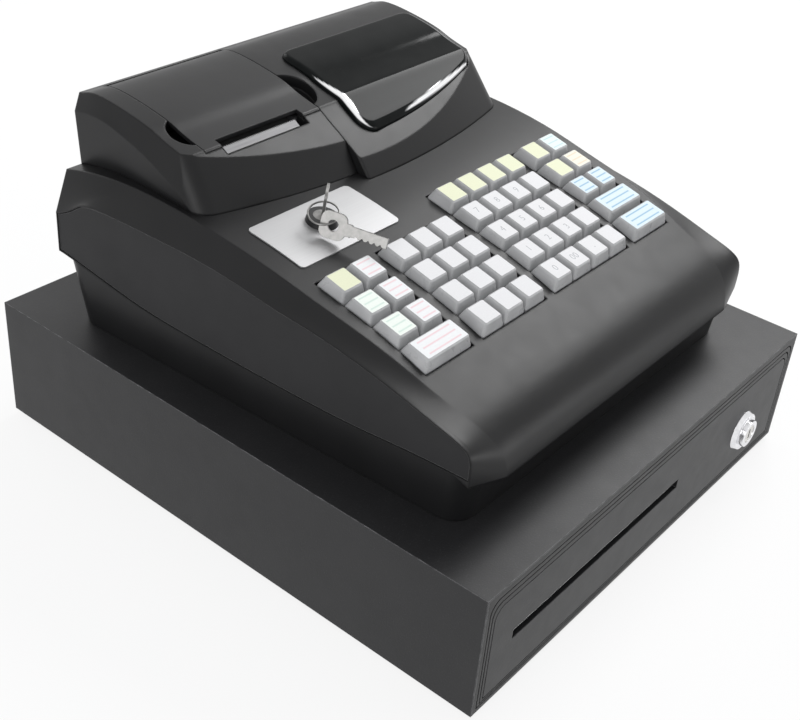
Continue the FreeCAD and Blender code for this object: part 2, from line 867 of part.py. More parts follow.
def body_solid(inset, side_inset, bottom_drop):
    """Upper body between the deck, the sloping bands, the flat sides and the seam."""
    rear_y = body_half_depth - inset
    faces = []
    decks = {}
    panels = {}
    seams = {}
    for side in (-1, 1):
        deck = deck_points(side, inset)
        deck[0] = V(deck[0].x, rear_y, deck[0].z)
        pairs = panel_pairs(inset)
        pairs[0] = (rear_y, pairs[0][1])
        low = [(y, z - bottom_drop) for y, z in seam_pairs()]
        low[0] = (rear_y, low[0][1])
        low[-1] = (pairs[-1][0], low[-1][1])
        if bottom_drop == 0:
            pairs[-1] = low[-1]
        decks[side] = curve(deck)
        panels[side] = curve(on_side(side, side_inset, pairs))
        seams[side] = curve(on_side(side, side_inset, low))
        faces.append(Part.makeRuledSurface(decks[side], panels[side]))
        rear = Part.LineSegment(V(side * side_x(rear_y, side_inset), rear_y, pairs[0][1]),
                                V(side * side_x(rear_y, side_inset), rear_y, low[0][1])).toShape()
        edges = [panels[side], rear, seams[side]]
        if bottom_drop > 0:
            tip_x = side * side_x(pairs[-1][0], side_inset)
            edges.append(Part.LineSegment(V(tip_x, pairs[-1][0], pairs[-1][1]),
                                          V(tip_x, low[-1][0], low[-1][1])).toShape())
        faces.append(Part.Face(Part.Wire(Part.__sortEdges__(edges))))
    faces.append(Part.makeRuledSurface(decks[-1], decks[1]))
    faces.append(Part.makeRuledSurface(seams[-1], seams[1]))
    ends = []
    for edges in (decks, panels, seams):
        ends.append([(e.Vertexes[0].Point, e.Vertexes[-1].Point) for e in (edges[-1], edges[1])])
    rear_loop = [ends[0][0][0], ends[1][0][0], ends[2][0][0], ends[2][1][0], ends[1][1][0], ends[0][1][0]]
    faces.append(face_of(rear_loop))
    lip = [ends[0][0][1], ends[1][0][1], ends[1][1][1], ends[0][1][1]]
    faces.append(face_of(lip))
    if bottom_drop > 0:
        faces.append(face_of([ends[1][0][1], ends[2][0][1], ends[2][1][1], ends[1][1][1]]))
    shell = Part.makeShell(faces)
    shell.sewShape()
    solid = Part.makeSolid(shell)
    if solid.Volume < 0:
        solid.reverse()
    return solid


def key_point(x, v, depth):
    """Point on the keyboard plane: across, up the slope, and down below the key tops."""
    return V(x, key_plane_y + v * key_cos + depth * key_sin,
             key_plane_z + v * key_sin - depth * key_cos)


def key_prism(x0, x1, v0, v1, depth0, depth1):
    """Block square to the keyboard plane between two depths below the key tops."""
    corners = [key_point(x0, v0, depth0), key_point(x1, v0, depth0),
               key_point(x1, v1, depth0), key_point(x0, v1, depth0)]
    travel = key_point(0, 0, depth1) - key_point(0, 0, depth0)
    return prism(corners, travel)


def row_v(row):
    """Place of a row up the slope, row 3 in the middle."""
    return (3 - row) * key_pitch


def key_columns(centre, count):
    """Centres of the columns of one block."""
    return [centre + (i - (count - 1) / 2) * key_pitch for i in range(count)]


key_blocks = (
    ("left", left_block_x, 2, 2, 5),
    ("middle", middle_block_x, 3, 2, 5),
    ("right", right_block_x, 4, 1, 5),
    ("far", far_block_x, 2, 1, 5),
)


def block_prism(block, spread, depth0, depth1):
    """Outline of one block of keys as a solid."""
    name, centre, count, first, last = block
    half = count * key_pitch / 2 + spread
    v0 = row_v(last) - key_pitch / 2 - spread
    v1 = row_v(first) + key_pitch / 2 + spread
    return key_prism(centre - half, centre + half, v0, v1, depth0, depth1)


def key_guide(deck):
    """Guide plate under the deck with a square hole for each stem and bosses up to the deck."""
    v0 = row_v(5) - key_pitch / 2 - guide_margin
    v1 = row_v(1) + key_pitch / 2 + guide_margin
    plate = key_prism(-guide_half_width, guide_half_width, v0, v1, guide_depth,
                      guide_depth + guide_thickness)
    holes = []
    half = key_stem_size / 2 + guide_hole_gap
    for block in key_blocks:
        name, centre, count, first, last = block
        for x in key_columns(centre, count):
            for row in range(first, last + 1):
                v = row_v(row)
                holes.append(key_prism(x - half, x + half, v - half, v + half,
                                       guide_depth - overrun, guide_depth + guide_thickness + overrun))
    plate = plate.cut(Part.makeCompound(holes))
    bosses = []
    for before, after in zip(key_blocks, key_blocks[1:]):
        right_edge = before[1] + before[2] * key_pitch / 2
        left_edge = after[1] - after[2] * key_pitch / 2
        x = (right_edge + left_edge) / 2
        for row in (2, 4):
            base = key_point(x, row_v(row), guide_depth)
            up = key_point(x, row_v(row), 0) - base
            height = guide_depth - key_cap_height + shell_wall
            bosses.append(post(base, up, guide_boss_radius, height))
    plate = plate.fuse(bosses)
    return plate.cut(deck)


def upper_case(outer):
    """Moulded upper case: shell open below, key openings, recesses for the side panels."""
    inner = body_solid(shell_wall, side_wall, deck_height * shell_open_share)
    shell = outer.cut(inner)
    for block in key_blocks:
        shell = shell.cut(block_prism(block, block_clearance, -overrun, overrun))
    for side in (-1, 1):
        shell = shell.cut(side_panel_form(side, 0, panel_recess + panel_thickness + fit_gap, seam_line))
    well = box(bay_left - bay_wall - fit_gap, bay_right + bay_wall + fit_gap,
               roll_y - roll_radius - roll_trough_gap - bay_wall - fit_gap,
               roll_y + roll_radius + roll_trough_gap + bay_wall + fit_gap,
               roll_z - roll_radius * 2, deck_height + overrun)
    shell = shell.cut(well)
    return shell.cut(mode_bore())


def side_panel_form(side, start, end, spread):
    """Almond plate under the panel edge, between two depths in from the flat side."""
    upper = panel_pairs(panel_rim - spread)
    low = [(y, z + panel_rim - spread) for y, z in seam_pairs()]
    rear_y = body_half_depth - panel_rim + spread
    upper = [pair for pair in upper if pair[1] > low[-1][1] + panel_tip_height]
    upper[0] = (rear_y, upper[0][1])
    tip = (upper[-1][0], low[-3][1])
    low = [pair for pair in low if pair[0] > tip[0] + panel_tip_length]
    low[0] = (rear_y, low[0][1])
    low.append(tip)
    top = curve(on_side(side, start, upper))
    bottom = curve(on_side(side, start, low))
    rear = Part.LineSegment(top.Vertexes[0].Point, bottom.Vertexes[0].Point).toShape()
    front = Part.LineSegment(top.Vertexes[-1].Point, bottom.Vertexes[-1].Point).toShape()
    face = Part.Face(Part.Wire(Part.__sortEdges__([top, front, bottom, rear])))
    return face.extrude(V(-side * (end - start), 0, 0))


def side_panel(side):
    """Side panel set a little below the edge round it."""
    return side_panel_form(side, panel_recess, panel_recess + panel_thickness, 0)


def pan_wire(inset, z, half, front, rear, corner):
    """Outline of the lower case at one height, narrower to the front."""
    f = half - inset + pan_taper_share * front
    r = half - inset + pan_taper_share * rear
    corners = [V(-f, front + inset, z), V(f, front + inset, z),
               V(r, rear - inset, z), V(-r, rear - inset, z)]
    return rounded_wire(corners, [corner - inset] * len(corners))


def pan_block(inset, z0, z1):
    """Flared block of the lower case, less an inset for its inside."""
    low = pan_wire(inset, z0, pan_half_width - pan_top_spread, pan_front, pan_rear, pan_corner)
    high = pan_wire(inset, z1, side_half_width - seam_line, pan_top_front,
                    body_half_depth, pan_corner)
    return Part.makeLoft([low, high], True, True)


def seam_cutter():
    """Everything above the seam of the two case halves."""
    lip_y = deck_edge_shares[-1][0] * body_half_depth
    lip_z = deck_edge_shares[-1][2] * deck_height
    wide = case_width
    line = curve([V(-wide, y, z) for y, z in seam_pairs()])
    rear_low = line.Vertexes[0].Point
    tip = line.Vertexes[-1].Point
    lip = V(-wide, lip_y, lip_z)
    top = deck_height + overrun
    rear_top = V(-wide, rear_low.y + overrun, top)
    rear_out = V(-wide, rear_low.y + overrun, rear_low.z)
    front_out = V(-wide, lip_y - overrun, lip_z)
    front_top = V(-wide, lip_y - overrun, top)
    path = Part.makePolygon([tip, lip, front_out, front_top, rear_top, rear_out, rear_low])
    face = Part.Face(Part.Wire([line] + path.Edges))
    return face.extrude(V(wide * 2, 0, 0))


def lower_case():
    """Moulded lower case: flared pan with a floor, cut off at the seam."""
    top = deck_height * pan_rise_share
    outer = pan_block(0, 0, top)
    inner = pan_block(shell_wall, pan_floor, top + seat_gap)
    pan = outer.cut(inner).cut(seam_cutter())
    for x, width in ((inlet_x, inlet_width), (switch_x, switch_width)):
        half_w = width / 2 + fit_gap
        half_h = inlet_height / 2 + fit_gap
        pan = pan.cut(box(x - half_w, x + half_w, inlet_face - inlet_length, inlet_face + overrun,
                          inlet_z - half_h, inlet_z + half_h))
    return pan


def power_inlet():
    """Flanged inlet socket with two pins in its pocket, beside the frame of the switch."""
    half_w = inlet_width / 2
    half_h = inlet_height / 2
    body = box(inlet_x - half_w, inlet_x + half_w, inlet_face - inlet_length, inlet_face,
               inlet_z - half_h, inlet_z + half_h)
    pocket = rounded_plate(inlet_x - inlet_pocket_width / 2, inlet_x + inlet_pocket_width / 2,
                           inlet_z - inlet_pocket_height / 2, inlet_z + inlet_pocket_height / 2,
                           inlet_face - inlet_pocket_depth, inlet_face + overrun,
                           edge_break, inlet_pocket_corner)
    body = body.cut(pocket)
    for side in (-1, 1):
        x = inlet_x + side * inlet_pin_pitch / 2
        body = body.fuse(box(x - inlet_pin_width / 2, x + inlet_pin_width / 2,
                             inlet_face - inlet_pocket_depth, inlet_face - inlet_pocket_depth
                             + inlet_pin_length, inlet_z - inlet_pin_height / 2,
                             inlet_z + inlet_pin_height / 2))
    half_w = switch_width / 2
    frame = box(switch_x - half_w, switch_x + half_w, inlet_face - inlet_length, inlet_face,
                inlet_z - half_h, inlet_z + half_h)
    hollow = box(switch_x - half_w + switch_frame_wall, switch_x + half_w - switch_frame_wall,
                 inlet_face - rocker_depth - rocker_under_gap, inlet_face + overrun,
                 inlet_z - half_h + switch_frame_wall, inlet_z + half_h - switch_frame_wall)
    pin_hole = rod(rocker_pivot(), V(1, 0, 0), rocker_pin_radius + fit_gap,
                   rocker_pin_length() + seat_gap)
    return Part.makeCompound([body, frame.cut(hollow).cut(pin_hole)])


def rocker_pivot():
    """Middle of the rocker's pin, half way down the rocker."""
    return V(switch_x, inlet_face - rocker_depth / 2, inlet_z)


def rocker_pin_length():
    """Length of the rocker's pin, from wall to wall of the switch frame."""
    return switch_width - (switch_frame_wall - rocker_pin_reach) * 2


def power_switch():
    """Rocker of the mains switch: a low roof with one side pressed in, on its pin."""
    half_w = switch_width / 2 - switch_frame_wall - rocker_gap
    half_h = inlet_height / 2 - switch_frame_wall - rocker_end_gap
    x = switch_x - half_w
    y0 = inlet_face - rocker_depth
    rise = half_h * math.tan(math.radians(rocker_angle))
    outline = [V(x, y0, inlet_z - half_h), V(x, y0, inlet_z + half_h),
               V(x, inlet_face + rise, inlet_z + half_h), V(x, inlet_face - rise / 2, inlet_z),
               V(x, inlet_face - rise, inlet_z - half_h)]
    pin = rod(rocker_pivot(), V(1, 0, 0), rocker_pin_radius, rocker_pin_length())
    return prism(outline, V(half_w * 2, 0, 0)).fuse(pin)


# Keys

def octagon(x, v, half_x, half_v, corner, depth):
    """Rectangle with cut corners on the keyboard plane."""
    shape = ((-1, -1, 0, 1), (-1, -1, 1, 0), (1, -1, -1, 0), (1, -1, 0, 1),
             (1, 1, 0, -1), (1, 1, -1, 0), (-1, 1, 1, 0), (-1, 1, 0, -1))
    points = []
    for sx, sv, kx, kv in shape:
        points.append(key_point(x + sx * half_x + kx * corner, v + sv * half_v + kv * corner, depth))
    return Part.makePolygon(points + [points[0]])


def key_cap(x, row, wide):
    """Clear tapered cap with a flat label, a straight skirt and a stem for each column."""
    v = row_v(row)
    extra = (wide - 1) * key_pitch / 2
    top_half = key_top_size / 2
    base_half = (key_pitch - key_gap) / 2
    top = octagon(x, v, top_half + extra, top_half, key_top_corner, 0)
    low = octagon(x, v, base_half + extra, base_half, key_base_corner, key_taper_height)
    taper = Part.makeLoft([top, low], True, True)
    skirt_face = Part.Face(octagon(x, v, base_half + extra, base_half, key_base_corner,
                                   key_taper_height))
    down = key_point(0, 0, 1) - key_point(0, 0, 0)
    skirt = skirt_face.extrude(down * key_skirt_height)
    half = key_stem_size / 2
    stems = []
    for stem_x in key_columns(x, wide):
        stems.append(key_prism(stem_x - half, stem_x + half, v - half, v + half, key_taper_height,
                               key_cap_height + key_stem_length))
    label_half = top_half - key_label_inset
    label = Part.Face(octagon(x, v, label_half + extra, label_half, key_top_corner,
                              -key_label_rise)).extrude(down * key_label_rise)
    return taper.fuse([skirt, label] + stems).removeSplitter()


# Label plate, mode lock and keys

def mode_axis():
    """Direction of the mode lock, square to the deck."""
    lean = math.radians(mode_lean_angle)
    return V(0, -math.sin(lean), math.cos(lean))


def mode_base():
    """Point where the mode lock's axis meets the deck."""
    return V(mode_x, mode_y, mode_z)


def mode_bore():
    """Hole through the deck and the plate for the mode lock's shank."""
    return rod(mode_base(), mode_axis(), mode_shank_radius + fit_gap, overrun * 3)


def deck_skin(outer, thickness):
    """Layer of even height on the deck."""
    raised = outer.copy()
    raised.translate(V(0, 0, thickness))
    return raised.cut(outer)


def label_plate(outer):
    """Silver plate laid on the deck round the mode lock."""
    blank = rounded_block(plate_left, plate_right, plate_front, plate_rear,
                          mode_z - overrun, mode_z + overrun, plate_corner)
    return deck_skin(outer, plate_thickness).common(blank).cut(mode_bore())


def mode_lock(outer, plate):
    """Round lock barrel on the plate and its shank under the deck."""
    base = mode_base()
    axis = mode_axis()
    lift = plate_thickness
    barrel = Part.makeCone(mode_barrel_radius, mode_barrel_top_radius, mode_barrel_height + lift,
                           base, axis)
    shank = post(base + axis * lift, axis * -1, mode_shank_radius, mode_shank_length)
    body = barrel.cut(outer).cut(plate).fuse(shank)
    return body.cut(rod(base, axis, mode_plug_radius + fit_gap, overrun * 4))


def flat_key(plug):
    """Key lying in the X and Z plane, its blade down and its hole at the origin."""
    half = key_bow_width / 2
    low = -key_bow_height / 2
    high = key_bow_height / 2
    neck = key_neck_width / 2
    corners = [V(-half, 0, low), V(half, 0, low), V(half, 0, high), V(-half, 0, high)]
    bow = Part.Face(rounded_wire(corners, [key_bow_corner] * len(corners)))
    bow = bow.extrude(V(0, key_metal, 0))
    shoulder = box(-neck, neck, 0, key_metal, low - key_neck_height, low)
    blade_half = key_blade_width / 2
    blade_low = low - key_neck_height - key_blade_length
    blade = box(-blade_half, blade_half, 0, key_metal, blade_low, low - key_neck_height)
    for i in range(key_cut_count):
        z = blade_low + (i + 1) * key_blade_length / (key_cut_count + 1)
        notch = prism([V(blade_half - key_cut_depth, 0, z),
                       V(blade_half + key_metal, 0, z - key_cut_depth * 2),
                       V(blade_half + key_metal, 0, z + key_cut_depth * 2)], V(0, key_metal, 0))
        if not plug:
            blade = blade.cut(notch)
    key = bow.fuse([shoulder, blade])
    key = key.cut(rod(V(0, 0, 0), V(0, 1, 0), key_bow_hole, overrun))
    key.translate(V(0, -key_metal / 2, 0))
    return key


def bow_centre():
    """Middle of the hole in the inserted key's bow."""
    rise = mode_barrel_height + plate_thickness + key_neck_height + key_bow_height / 2
    return mode_base() + mode_axis() * rise


def mode_key():
    """Inserted key with the plug that turns with it, its bow seen edge on from the left front."""
    key = flat_key(True)
    key = key.common(box(-overrun, overrun, -overrun, overrun,
                         -key_bow_height / 2 - key_neck_height - seat_gap, overrun))
    plug_top = -key_bow_height / 2 - key_neck_height
    plug = post(V(0, 0, plug_top), V(0, 0, -1), mode_plug_radius, mode_plug_length)
    key = key.fuse(plug)
    key.rotate(V(0, 0, 0), V(0, 0, 1), key_facing_angle)
    key.rotate(V(0, 0, 0), V(1, 0, 0), mode_lean_angle)
    key.translate(bow_centre())
    return key


def ring_frame():
    """Middle of the ring at the low edge of the bow's hole, the way across it and the way it hangs."""
    facing = math.radians(180 + key_facing_angle)
    ahead = V(math.cos(facing), math.sin(facing), 0)
    across = V(-ahead.y, ahead.x, 0)
    hang = math.radians(ring_hang_angle)
    down = ahead * math.cos(hang) - V(0, 0, 1) * math.sin(hang)
    return bow_centre() - mode_axis() * ring_drop + down * ring_radius, across, down


def key_ring():
    """Wire ring through the hole of the bow, hanging towards the left front."""
    place, across, down = ring_frame()
    ring = Part.makeTorus(ring_radius, ring_wire, V(0, 0, 0), V(0, 0, 1))
    ring.Placement = FreeCAD.Placement(place, FreeCAD.Rotation(across, down, V(0, 0, 0), "XYZ"))
    return ring


def spare_key():
    """Second key hanging on the ring, its flat bow to the left front and its blade to the right."""
    place, across, down = ring_frame()
    angle = math.radians(spare_place_angle)
    spot = place + (down * math.cos(angle) + across * math.sin(angle)) * ring_radius
    ahead = V(down.x, down.y, 0).normalize()
    lean = math.radians(spare_lean_angle)
    turn = math.radians(spare_turn_angle)
    level = ahead * math.cos(turn) - across * math.sin(turn)
    face = level * math.cos(lean) + V(0, 0, 1) * math.sin(lean)
    side = V(0, 0, 1).cross(face).normalize()
    upright = face.cross(side)
    dip = math.radians(spare_dip_angle)
    blade = side * math.cos(dip) - upright * math.sin(dip)
    key = flat_key(False)
    turned = FreeCAD.Rotation(V(0, 0, 0), face, blade * -1, "ZYX")
    key.Placement = FreeCAD.Placement(spot - upright * spare_drop, turned)
    return key


# Hump

def hump_pairs(shares):
    """Points of a hump curve in depth and height."""
    return [(ys * body_half_depth, zs * hump_height) for ys, zs in shares]


def hump_solid():
    """Hump block between its top, the bevels and its sides."""
    faces = []
    tops = {}
    bands = {}
    feet = {}
    rear_y = hump_rear
    front_y = hump_front_limit
    for side in (-1, 1):
        top = [V(side * hump_top_half, y, z) for y, z in hump_pairs(hump_top_shares)]
        band = [V(side * hump_band_half, y, z) for y, z in hump_pairs(hump_bevel_shares)]
        top[0].y = rear_y
        band[0].y = rear_y
        top[-1].y = front_y
        band[-1].y = front_y
        tops[side] = curve(top)
        bands[side] = curve(band)
        low = [V(side * hump_foot_half, rear_y, hump_root), V(side * hump_foot_half, front_y, hump_root)]
        feet[side] = Part.LineSegment(low[0], low[1]).toShape()
        faces.append(Part.makeRuledSurface(tops[side], bands[side]))
        faces.append(Part.makeRuledSurface(bands[side], feet[side]))
    faces.append(Part.makeRuledSurface(tops[-1], tops[1]))
    faces.append(Part.makeRuledSurface(feet[-1], feet[1]))
    for end in (0, -1):
        left = [e[-1].Vertexes[end].Point for e in (tops, bands, feet)]
        right = [e[1].Vertexes[end].Point for e in (feet, bands, tops)]
        faces.append(face_of(left + right))
    shell = Part.makeShell(faces)
    shell.sewShape()
    solid = Part.makeSolid(shell)
    if solid.Volume < 0:
        solid.reverse()
    return solid


def bow_y(front, bow, x):
    """Depth of a bowed front line at a distance from the middle."""
    return front + bow - math.sqrt(bow ** 2 - x ** 2)


def plan_wire(front, bow, x0, x1, corner0, corner1, z):
    """Plan outline with a bowed front and a rounded front corner at each end."""
    left = V(x0, bow_y(front, bow, x0), z)
    right = V(x1, bow_y(front, bow, x1), z)
    rear = hump_rear + overrun
    a = left + V(0, corner0, 0)
    b = V(x0 + corner0, bow_y(front, bow, x0 + corner0), z)
    c = V(x1 - corner1, bow_y(front, bow, x1 - corner1), z)
    d = right + V(0, corner1, 0)
    middle_x = (b.x + c.x) / 2
    edges = [Part.Arc(b, V(middle_x, bow_y(front, bow, middle_x), z), c).toShape()]
    if corner1 > 0:
        pull = corner1 * quarter_arc_share
        mid = V(x1 - pull, (c.y + d.y - corner1) / 2 + pull, z)
        edges.append(Part.Arc(c, mid, d).toShape())
    edges.append(Part.LineSegment(d, V(x1, rear, z)).toShape())
    edges.append(Part.LineSegment(V(x1, rear, z), V(x0, rear, z)).toShape())
    edges.append(Part.LineSegment(V(x0, rear, z), a).toShape())
    if corner0 > 0:
        pull = corner0 * quarter_arc_share
        mid = V(x0 + pull, (a.y + b.y - corner0) / 2 + pull, z)
        edges.append(Part.Arc(a, mid, b).toShape())
    return Part.Wire(edges)


def front_block(foot, brow, x0, x1, corner0, corner1):
    """Block with a bowed front that leans back from its foot to its brow, and on upwards."""
    foot_front, foot_bow = foot
    brow_front, brow_bow, brow_z = brow
    rise = brow_z - hump_foot_height
    lean = (brow_front - foot_front) / rise
    z0 = hump_root
    z1 = hump_block_top
    low = plan_wire(foot_front + (z0 - hump_foot_height) * lean, foot_bow, x0, x1,
                    corner0, corner1, z0)
    high = plan_wire(foot_front + (z1 - hump_foot_height) * lean, brow_bow, x0, x1,
                     corner0, corner1, z1)
    return Part.makeLoft([low, high], True, True)


def printer_block(hump):
    """Outer form of the printer half of the hump."""
    foot = (printer_foot_front, printer_foot_bow)
    brow = (printer_brow_front, printer_brow_bow, printer_brow_height)
    form = front_block(foot, brow, -hump_band_half, hump_split - hump_split_gap, hump_corner, 0)
    return hump.common(form)


def display_block(hump):
    """Outer form of the display half of the hump, proud of the printer in front."""
    foot = (display_foot_front, display_foot_bow)
    brow = (display_brow_front, display_brow_bow, display_brow_height)
    form = front_block(foot, brow, hump_split, hump_band_half, pod_inner_corner, hump_corner)
    return hump.common(form)


def top_layer(hump, low, high):
    """Layer that follows the top of the hump between two heights from it."""
    upper = hump.copy()
    upper.translate(V(0, 0, high))
    lower = hump.copy()
    lower.translate(V(0, 0, low))
    return upper.cut(lower)


def hinge_height():
    """Height of the cover's hinge line, one barrel radius below the top."""
    return hump_height * (hump_top_shares[2][1] + hump_top_shares[1][1]) / 2 - cover_barrel_radius


def cover_outline(spread, right, low, high):
    """Blank of the printer cover as a block, from its front edge to the hinge line."""
    return box(cover_left - spread, right, cover_front - spread, cover_hinge_y, low, high)


def printer_cover(hump):
    """Curved lid over the paper with a barrel along its hinge line, pins and the slot's notch."""
    skin = top_layer(hump, -cover_thickness, 0)
    lid = skin.common(cover_outline(0, cover_right, printer_brow_height, above_hump))
    middle = V((cover_left + cover_right) / 2, cover_hinge_y, hinge_height())
    barrel = rod(middle, V(1, 0, 0), cover_barrel_radius, cover_right - cover_left)
    pins = rod(middle, V(1, 0, 0), cover_pin_radius, cover_right - cover_left + cover_pin_length * 2)
    lid = lid.fuse([barrel, pins])
    notch = box(slot_x_left, slot_x_right, cover_front - overrun, slot_y_rear,
                printer_brow_height, above_hump)
    return lid.cut(notch)


def printer_housing(hump, outer):
    """Printer half of the hump: paper bay and trough, cover ledge, slot and finger recess."""
    body = printer_block(hump).cut(outer)
    ledge = top_layer(hump, -ledge_depth, overrun).common(
        cover_outline(cover_gap, hump_split, printer_brow_height - overrun, above_hump))
    middle = V((cover_left + cover_right) / 2, cover_hinge_y, hinge_height())
    barrel_gap = cover_barrel_radius + cover_hinge_gap
    barrel_room = rod(middle, V(1, 0, 0), barrel_gap, cover_right - cover_left + cover_gap * 2)
    above = box(cover_left - cover_gap, cover_right + cover_gap, cover_hinge_y - fit_gap,
                cover_hinge_y + barrel_gap, hinge_height(), above_hump)
    bay = box(bay_left, bay_right, bay_front, bay_rear, bay_floor, above_hump)
    trough_radius = roll_radius + roll_trough_gap
    roll_middle = V((bay_left + bay_right) / 2, roll_y, roll_z)
    trough_room = rod(roll_middle, V(1, 0, 0), trough_radius, bay_right - bay_left)
    trough = rod(roll_middle, V(1, 0, 0), trough_radius + bay_wall,
                 bay_right - bay_left + bay_wall * 2)
    trough = trough.common(box(bay_left - bay_wall, bay_right + bay_wall, roll_y - trough_radius
                               - bay_wall, roll_y + trough_radius + bay_wall,
                               roll_z - roll_radius * 2, bay_floor))
    body = body.fuse(trough)
    slot_half = spindle_radius + fit_gap
    spindle_slot = box(bay_left - spindle_reach, bay_right + spindle_reach, roll_y - slot_half,
                       roll_y + slot_half, roll_z, hump_height)
    spindle_room = rod(roll_middle, V(1, 0, 0), slot_half, bay_right - bay_left + spindle_reach * 2)
    slot = box(slot_x_left, slot_x_right, slot_y_front, bay_front + fit_gap, slot_floor,
               above_hump)
    recess = crescent(hump, cover_left - finger_width, finger_front, finger_rear, finger_width,
                      finger_depth)
    return body.cut(ledge.fuse([barrel_room, above])).cut(bay.fuse(trough_room)).cut(
        spindle_slot.fuse(spindle_room)).cut(slot).cut(recess).cut(pin_holes())


def crescent(hump, tip_x, front, rear, width, depth):
    """Round bite beside the cover, its tip at one X and its chord along the cover's edge."""
    half_chord = (rear - front) / 2
    radius = (half_chord ** 2 + width ** 2) / (width * 2)
    inward = 1 if tip_x < (cover_left + cover_right) / 2 else -1
    middle = V(tip_x + inward * radius, (front + rear) / 2, above_hump)
    bite = post(middle, V(0, 0, -1), radius, above_hump - hump_root)
    return bite.common(top_layer(hump, -depth, overrun))


def pin_holes():
    """Running holes for the cover's pins, in the printer housing and the display pod."""
    middle = V((cover_left + cover_right) / 2, cover_hinge_y, hinge_height())
    return rod(middle, V(1, 0, 0), cover_pin_radius + fit_gap,
               cover_right - cover_left + (cover_pin_length + seat_gap) * 2)


def tear_bar(hump):
    """Bright strip in the slot with a row of teeth along its rear edge."""
    strip = top_layer(hump, -tear_depth, tear_proud).common(
        box(slot_x_left, tear_right, slot_y_front, cover_front, slot_floor, hump_height))
    teeth = []
    count = int((tear_right - slot_x_left) / (tear_tooth * 2))
    for i in range(count):
        x = slot_x_left + tear_tooth * (2 * i + 1)
        tooth = prism([V(x - tear_tooth, cover_front, slot_floor), V(x + tear_tooth, cover_front, slot_floor),
                       V(x, cover_front - tear_tooth, slot_floor)], V(0, 0, hump_height - slot_floor))
        teeth.append(tooth)
    return strip.cut(Part.makeCompound(teeth))


def paper_roll():
    """Paper roll on its spindle, which turns in two open slots of the bay."""
    middle = V((bay_left + bay_right) / 2, roll_y, roll_z)
    core = rod(middle, V(1, 0, 0), roll_core_radius, roll_width + till_wall)
    spindle = rod(middle, V(1, 0, 0), spindle_radius,
                  bay_right - bay_left + spindle_reach * 2 - seat_gap)
    roll = rod(middle, V(1, 0, 0), roll_radius, roll_width)
    roll = roll.cut(rod(middle, V(1, 0, 0), roll_core_radius, roll_width + overrun))
    return Part.makeCompound([roll, core.fuse(spindle)])


def platen_roller():
    """Rubber platen on its shaft."""
    middle = V((bay_left + bay_right) / 2, platen_y, platen_z)
    drum = rod(middle, V(1, 0, 0), platen_radius, roll_width)
    shaft = rod(middle, V(1, 0, 0), platen_shaft_radius, bay_right - bay_left - seat_gap * 4)
    return drum.fuse(shaft)


def print_mechanism():
    """Print head block with two cheeks that carry the platen."""
    half = roll_width / 2 + side_play
    middle = (bay_left + bay_right) / 2
    gap = seat_gap
    base = box(bay_left + gap, bay_right - gap, bay_front + gap, mechanism_rear, bay_floor,
               platen_z - platen_radius * 2)
    body = base
    for side in (-1, 1):
        x0 = middle + side * half
        x1 = middle + side * (half + mechanism_cheek)
        body = body.fuse(box(min(x0, x1), max(x0, x1), bay_front + gap, mechanism_rear,
                             bay_floor, mechanism_top + mechanism_cheek))
    head = box(middle - half, middle + half, bay_front + gap, platen_y - platen_radius - gap * 2,
               bay_floor, platen_z)
    body = body.fuse(head)
    return body.cut(rod(V(middle, platen_y, platen_z), V(1, 0, 0), platen_shaft_radius + fit_gap,
                        bay_right - bay_left))


def lens_form(z0, z1):
    """Rounded outline of the display lens, bowed in front like the block under it."""
    front_left = bow_y(lens_front, lens_front_bow, lens_left)
    front_right = bow_y(lens_front, lens_front_bow, lens_right)
    corners = [V(lens_left, front_left, z0), V(lens_right, front_right, z0),
               V(lens_right, lens_rear, z0), V(lens_left, lens_rear, z0)]
    block = Part.Face(rounded_wire(corners, [lens_corner] * len(corners)))
    block = block.extrude(V(0, 0, z1 - z0))
    return block


def display_window(hump):
    """Smoked lens that follows the top of the hump and stands a little proud."""
    layer = top_layer(hump, -lens_seat, lens_rise)
    return layer.common(lens_form(hump_root, above_hump))


def display_pod(hump, outer):
    """Display half of the hump with the seat of the lens and the thumb recess beside the cover."""
    body = display_block(hump).cut(outer)
    seat = top_layer(hump, -lens_seat, overrun).common(lens_form(hump_root, above_hump))
    thumb = crescent(hump, hump_split + thumb_width, thumb_front, thumb_rear, thumb_width, thumb_depth)
    return body.cut(seat).cut(thumb).cut(pin_holes())


